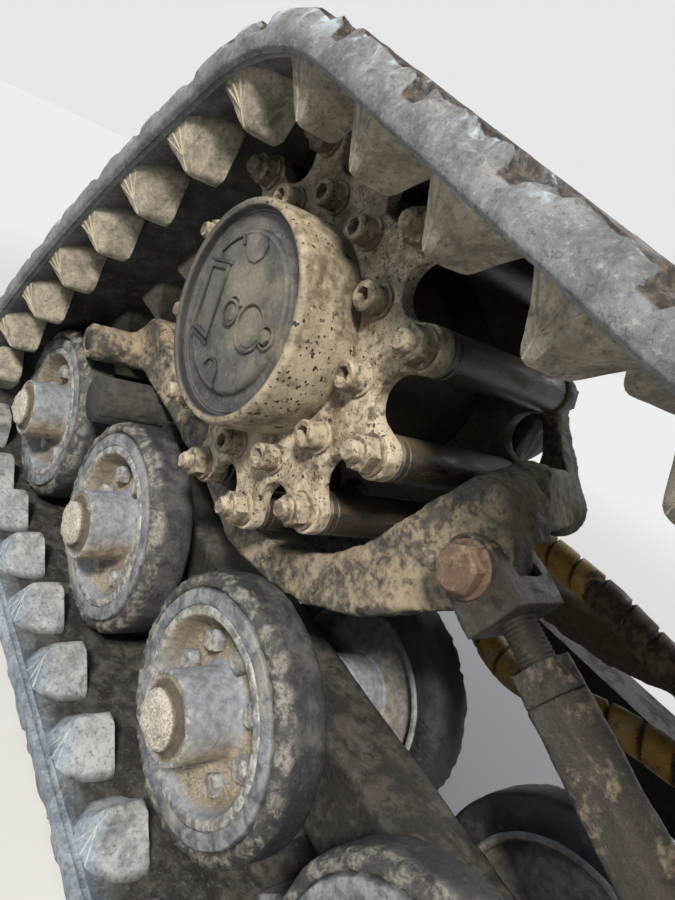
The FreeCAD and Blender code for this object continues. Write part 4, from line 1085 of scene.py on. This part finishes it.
def capFinish():
    g = Graph("hubCap")
    broad = g.noise(17.0, 6.0, 0.66, 0.6)
    middle = g.noise(90.0, 8.0, 0.72, 0.3)
    fine = g.noise(330.0, 6.0, 0.72)
    along = g.split(g.place)[1]
    wall = g.ramp(along, hub.y + gear["capEnd"] + 0.0015, hub.y + gear["capEnd"] + 0.0035)
    ends = g.math("ABSOLUTE", g.normal()[1])
    side = g.times(g.ramp(ends, 0.6, 0.3), g.math("GREATER_THAN", g.attribute("outer"), 0.5))
    rim = g.attribute("rim")
    cover = g.plus(g.times(broad, 0.5), g.times(middle, 0.5))
    face = g.mix(g.ramp(cover, 0.36, 0.64), (0.018, 0.018, 0.019), (0.088, 0.084, 0.077))
    face = g.mix(g.ramp(fine, 0.54, 0.68, 0.0, 0.45), face, (0.20, 0.19, 0.17))
    face = g.mix(g.ramp(g.times(ends, wall), 0.80, 0.40, 0.0, 0.9), face, (0.014, 0.014, 0.015))
    cream = g.mix(g.ramp(cover, 0.36, 0.60), (0.095, 0.075, 0.049), (0.330, 0.280, 0.200))
    # Painted light and shade on the rim: cream towards the front (+X) as the lit side, the dark face tone towards the
    # rear as the shaded side
    cream = g.mix(g.times(rim, g.ramp(g.split(g.place)[0], hub.x + 0.02, hub.x - 0.06, 0.0, 0.85)), cream,
                  face)
    outer = g.math("MAXIMUM", side, rim)
    colour = g.mix(outer, face, cream)
    dusty = g.times(g.ramp(g.noise(9.0, 5.0, 0.6), 0.50, 0.64), 0.5)
    colour = g.mix(dusty, colour, g.mix(fine, (0.13, 0.11, 0.08), (0.33, 0.29, 0.21)))
    spot = g.specks((260, 0.40), (110, 0.34))
    spot = g.times(spot, g.times(outer, g.ramp(broad, 0.34, 0.50)))
    colour = g.mix(spot, colour, (0.018, 0.016, 0.014))
    g.bumped(((middle, 0.0010), (fine, 0.0009)), 0.0008)
    return g.done(colour, g.less(g.ramp(cover, 0.35, 0.62, 0.36, 0.82), g.times(spot, 0.3), True))


marked(capItem, "outer", lambda r, y: fade(r, gear["capRadius"] - 0.004, gear["capRadius"] - 0.002), hub)
marked(capItem, "rim", lambda r, y: fade(r, gear["capRadius"] - 0.0085, gear["capRadius"] - 0.0065), hub)
finishes["hubCap"] = capFinish()
part(capItem, "sprocket_hub_cap", "hubCap", sprocket)
print("sprocket")


# Drive table: the cast saddle, its edges rounded and its faces caked

table = softened("driveTable", "drive_table", 0.0030, 5)
roughen(table, 0.0020, 24.0, 8)
roughen(table, 0.0011, 110.0, 9)
part(table, "drive_table", "tableCasting")
print("table", len(table.data.polygons))

# Turnbuckle
for name, node, voxel, passes, amount, scale, seed in (
        ("rearFork", "turnbuckle_rear_fork", 0.0014, 4, 0.0012, 60.0, 10),
        ("frontFork", "turnbuckle_front_fork", 0.0014, 4, 0.0012, 60.0, 10),
        ("linkBody", "turnbuckle_body", 0.0016, 4, 0.0012, 50.0, 11),
        ("jamNut", "turnbuckle_jam_nut", 0.0010, 3, 0.0006, 90.0, 12)):
    item = roughen(softened(name, node, voxel, passes), amount, scale, seed)
    part(item, node, "linkSteel")

linkStart = boxCentre("turnbuckle_rear_bolt")
linkEnd = boxCentre("turnbuckle_front_bolt")
linkWay = (linkEnd - linkStart).normalized()


def threadRod(name, start, length, radius=0.013, pitch=0.0032):
    # Ridges of a screw along the turnbuckle's axis.
    points = []
    for ring in range(int(length / pitch) * 4 + 1):
        along = ring * pitch / 4
        for k in range(24):
            turn = 2 * math.pi * k / 24
            phase = (along / pitch + k / 24) % 1.0
            reach = radius - 0.0018 * (1 - abs(phase - 0.5) * 2)
            points.append((reach * math.cos(turn), reach * math.sin(turn), along))
    item = cleaned(meshFrom(name, points, tubeFaces(len(points) // 24, 24)))
    across = Vector((0, 1, 0))
    side = across.cross(linkWay)
    turned = Matrix((side, across, linkWay)).transposed().to_4x4()
    item.data.transform(Matrix.Translation(start) @ turned)
    return smoothed(item, 60)


link = {"reach": 0.040, "lead": 0.094, "body": 0.210}
rearScrew = threadRod("rearScrew", linkStart + linkWay * (link["reach"] - 0.004),
                      link["lead"] - link["reach"] + 0.006)
part(rearScrew, "turnbuckle_rear_screw", "linkSteel")
after = link["lead"] + link["body"]
frontScrew = threadRod("frontScrew", linkStart + linkWay * (after - 0.004),
                       (linkEnd - linkStart).length - after - link["reach"] + 0.008)
part(frontScrew, "turnbuckle_front_screw", "linkSteel")


def forkBolt(name, node):
    # Hexagon head with a washer face outboard, nut inboard.
    low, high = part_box(node)
    centre = boxCentre(node)
    outer, inner = low[1], high[1]
    washer = lathe("washer", rounded([(0.0, outer), (0.021, outer), (0.021, outer - 0.003),
                                      (0.0, outer - 0.003)], 0.0008, 2), 40)
    top = hexNut("boltHead", 0.032, 0.0125, 0.0025)
    top.data.transform(Matrix.Translation((0, outer - 0.003, 0)))
    shank = lathe("shank", [(0.0, outer), (0.011, outer), (0.011, inner), (0.0, inner)], 32)
    nutItem = hexNut("nut", 0.032, 0.014)
    nutItem.data.transform(Matrix.Translation((0, inner, 0)) @ Matrix.Rotation(math.pi, 4, "X"))
    item = joined(name, [washer, top, shank, nutItem])
    item.data.transform(Matrix.Translation((centre.x, 0, centre.z)))
    roughen(item, 0.0006, 120.0, 13)
    part(item, node, "boltRust")


forkBolt("rearForkBolt", "turnbuckle_rear_bolt")
forkBolt("frontForkBolt", "turnbuckle_front_bolt")
print("turnbuckle")

# Hoses in spiral guards, from the motor's ports to the bracket; the middle one is caked with mud
hoses = {
    # name: radius, spiral's pitch, then points in metres from the sprocket's axis
    "topHose": (0.0158, 0.030, ((0.112, 0.150, -0.078), (0.180, 0.142, -0.086), (0.276, 0.138, -0.084),
                                (0.350, 0.138, -0.096),
                                (0.431, 0.138, -0.090))),
    "middleHose": (0.0205, 0.0, ((0.112, 0.185, -0.099), (0.190, 0.178, -0.136), (0.283, 0.176, -0.128),
                                 (0.345, 0.176, -0.106),
                                 (0.431, 0.176, -0.092))),
    "lowHose": (0.0158, 0.030, ((0.098, 0.145, -0.120), (0.140, 0.145, -0.168), (0.190, 0.144, -0.202),
                                (0.235, 0.142, -0.210),
                                (0.285, 0.140, -0.190), (0.345, 0.140, -0.164), (0.431, 0.140, -0.150))),
}


def hoseLine(points, step=0.0013):
    # Straight runs joined by curves, sampled evenly.
    corners = [hub + Vector(point) for point in points]
    line = [corners[0]]
    for before, here, after in zip(corners, corners[1:], corners[2:]):
        reach = 0.45 * min((here - before).length, (after - here).length)
        start, end = here + (before - here).normalized() * reach, here + (after - here).normalized() * reach
        line += [start.lerp(here, k / 8).lerp(here.lerp(end, k / 8), k / 8) for k in range(9)]
    line.append(corners[-1])
    even, left = [line[0]], step
    for a, b in zip(line, line[1:]):
        gap, done = (b - a).length, 0.0
        while gap - done >= left:
            done += left
            even.append(a.lerp(b, done / gap))
            left = step
        left -= gap - done
    return even + [line[-1]]


def makeHose(name, radius, pitch, points):
    line = hoseLine(points)
    verts, grooves, travel = [], [], 0.0
    for k, spot in enumerate(line):
        way = (line[min(k + 1, len(line) - 1)] - line[max(k - 1, 0)]).normalized()
        side = way.cross(Vector((0, 1, 0))).normalized()
        up = side.cross(way)
        travel += (spot - line[max(k - 1, 0)]).length
        for j in range(28):
            turn = 2 * math.pi * j / 28
            reach, groove = radius, 0.0
            if pitch:
                phase = (travel / pitch + j / 28) % 1.0
                off = min(phase, 1 - phase) * pitch
                groove = 1 - fade(off, 0.0012, 0.0024)
                reach -= 0.0036 * groove
            grooves.append(groove)
            verts.append(spot + (side * math.cos(turn) + up * math.sin(turn)) * reach)
    item = smoothed(cleaned(meshFrom(name, verts, tubeFaces(len(line), 28))), 32)
    valued(item, "groove", grooves)
    return toned(item, "caked", lambda p: fade(p.x - hub.x, 0.235, 0.285) * fade(p.z - hub.z, -0.130, -0.110))


def guardFinish():
    g = Graph("hoseGuard")
    broad = g.noise(24.0, 6.0, 0.65, 0.5)
    middle = g.noise(110.0, 7.0, 0.7)
    fine = g.noise(500.0, 5.0, 0.7)
    colour = g.mix(g.ramp(broad, 0.42, 0.60), (0.33, 0.185, 0.028), (0.40, 0.275, 0.095))
    colour = g.mix(g.ramp(middle, 0.52, 0.66, 0.0, 0.8), colour, (0.085, 0.060, 0.034))
    colour = g.mix(g.ramp(fine, 0.56, 0.70, 0.0, 0.5), colour, (0.36, 0.31, 0.22))
    colour = g.mix(g.attribute("groove"), colour, (0.012, 0.010, 0.009))
    crust = g.mix(g.ramp(middle, 0.40, 0.62), (0.026, 0.018, 0.013), (0.115, 0.084, 0.054))
    cover = g.plus(g.attribute("caked"), g.ramp(broad, 0.3, 0.7, -0.35, 0.35))
    colour = g.mix(g.ramp(cover, 0.42, 0.58), colour, crust)
    g.bumped(((middle, 0.0008), (fine, 0.0004)))
    return g.done(colour, g.ramp(broad, 0.4, 0.6, 0.5, 0.8))


finishes["hoseGuard"] = guardFinish()


hoseItems = []
for name, (radius, pitch, points) in hoses.items():
    item = makeHose(name, radius, pitch, points)
    roughen(item, 0.0006 if pitch else 0.0036, 60.0 if pitch else 38.0, 15)
    item.data.materials.append(finishes["hoseGuard" if pitch else "cakedMud"])
    hoseItems.append(item)
part(joined("hoses", hoseItems), "drive_hoses")

# Rail and suspension keep their CAD forms, with caked faces
rail = softened("rail", "main_rail", 0.0055, 1)
roughen(rail, 0.0014, 30.0, 14)
part(rail, "main_rail", "frameSteel")
slots = {row["node"]: row["material_slot"] for row in frame["record"]["subparts"]}
for node in [name for name, item in frame["nodes"].items() if not item.hide_render]:
    choice = {"frame_steel": "frameSteel", "motor_steel": "motorSteel",
              "link_steel": "linkSteel"}[slots[node]]
    item = smoothed(cleaned(nodeCopy(node + "Look", node)), 30)
    part(item, node, choice)
print("frame")


# Floor, lights and camera

def backdropRays(tree):
    # One for what the camera sees, also in glossy and clear surfaces.
    seen = tree.nodes.new("ShaderNodeLightPath").outputs
    total = seen["Is Camera Ray"]
    for name in ("Is Glossy Ray", "Is Transmission Ray"):
        either = tree.nodes.new("ShaderNodeMath")
        either.operation = "MAXIMUM"
        tree.links.new(total, either.inputs[0])
        tree.links.new(seen[name], either.inputs[1])
        total = either.outputs[0]
    return total


def makeFloor():
    floor = meshFrom("floor", [(-14, -14, 0), (14, -14, 0), (14, 14, 0), (-14, 14, 0)], [(0, 1, 2, 3)])
    g = Graph("floor")
    distance = g.add("VectorMath", {0: g.place}, operation="LENGTH").outputs["Value"]
    far = g.ramp(distance, 1.4, 3.2)
    glow = g.times(far, backdropRays(g.tree))
    g.shader.inputs["Emission Color"].default_value = (0.80, 0.80, 0.80, 1.0)
    g.link(glow, g.shader.inputs["Emission Strength"])
    floor.data.materials.append(g.done(g.mix(far, (0.46, 0.458, 0.452), (0.0, 0.0, 0.0)), 0.9))


def areaLight(name, place, aim, size, power, colour=(1, 1, 1)):
    data = bpy.data.lights.new(name, "AREA")
    data.shape = "DISK"
    data.size = size
    data.energy = power
    data.color = colour
    item = newObject(name, data)
    item.location = place
    item.rotation_euler = (Vector(aim) - Vector(place)).to_track_quat("-Z", "Y").to_euler()


def makeWorld():
    # Soft cool light from the sky, and a plain pale colour behind the object.
    world = bpy.data.worlds.new("studio")
    bpy.context.scene.world = world
    world.use_nodes = True
    tree = world.node_tree
    sky = tree.nodes["Background"]
    sky.inputs["Color"].default_value = (0.74, 0.82, 0.93, 1.0)
    sky.inputs["Strength"].default_value = 0.34
    plain = tree.nodes.new("ShaderNodeBackground")
    plain.inputs["Color"].default_value = (0.80, 0.80, 0.80, 1.0)
    choice = tree.nodes.new("ShaderNodeMixShader")
    tree.links.new(backdropRays(tree), choice.inputs[0])
    tree.links.new(sky.outputs[0], choice.inputs[1])
    tree.links.new(plain.outputs[0], choice.inputs[2])
    tree.links.new(choice.outputs[0], tree.nodes["World Output"].inputs["Surface"])


makeFloor()
makeWorld()
areaLight("key", (1.5, -2.6, 3.4), (-0.4, -0.1, 0.3), 0.7, 400, (1.0, 0.95, 0.87))
areaLight("side", (-3.2, -2.6, 1.9), (-0.6, -0.1, 0.3), 2.2, 40, (0.78, 0.88, 1.0))
areaLight("back", (-1.0, 3.4, 3.0), (-0.3, 0.0, 0.4), 2.4, 90)

# Camera fitted to the photo: place, and directions of its right, up and back
view = {
    "place": (-0.0931, -0.5152, 0.6025),
    "right": (0.52314, 0.73815, 0.42597),
    "up": (-0.50786, -0.13138, 0.85136),
    "back": (0.68440, -0.66172, 0.30615),
    "lens": 27.08,
}
camera = newObject("camera", bpy.data.cameras.new("camera"))
camera.data.lens = view["lens"]
camera.data.sensor_width = 36.0
camera.data.clip_start = 0.01
turned = Matrix([view[key] for key in ("right", "up", "back")]).transposed().to_4x4()
camera.matrix_world = Matrix.Translation(view["place"]) @ turned
bpy.context.scene.camera = camera
bpy.context.scene.view_settings.view_transform = "Standard"
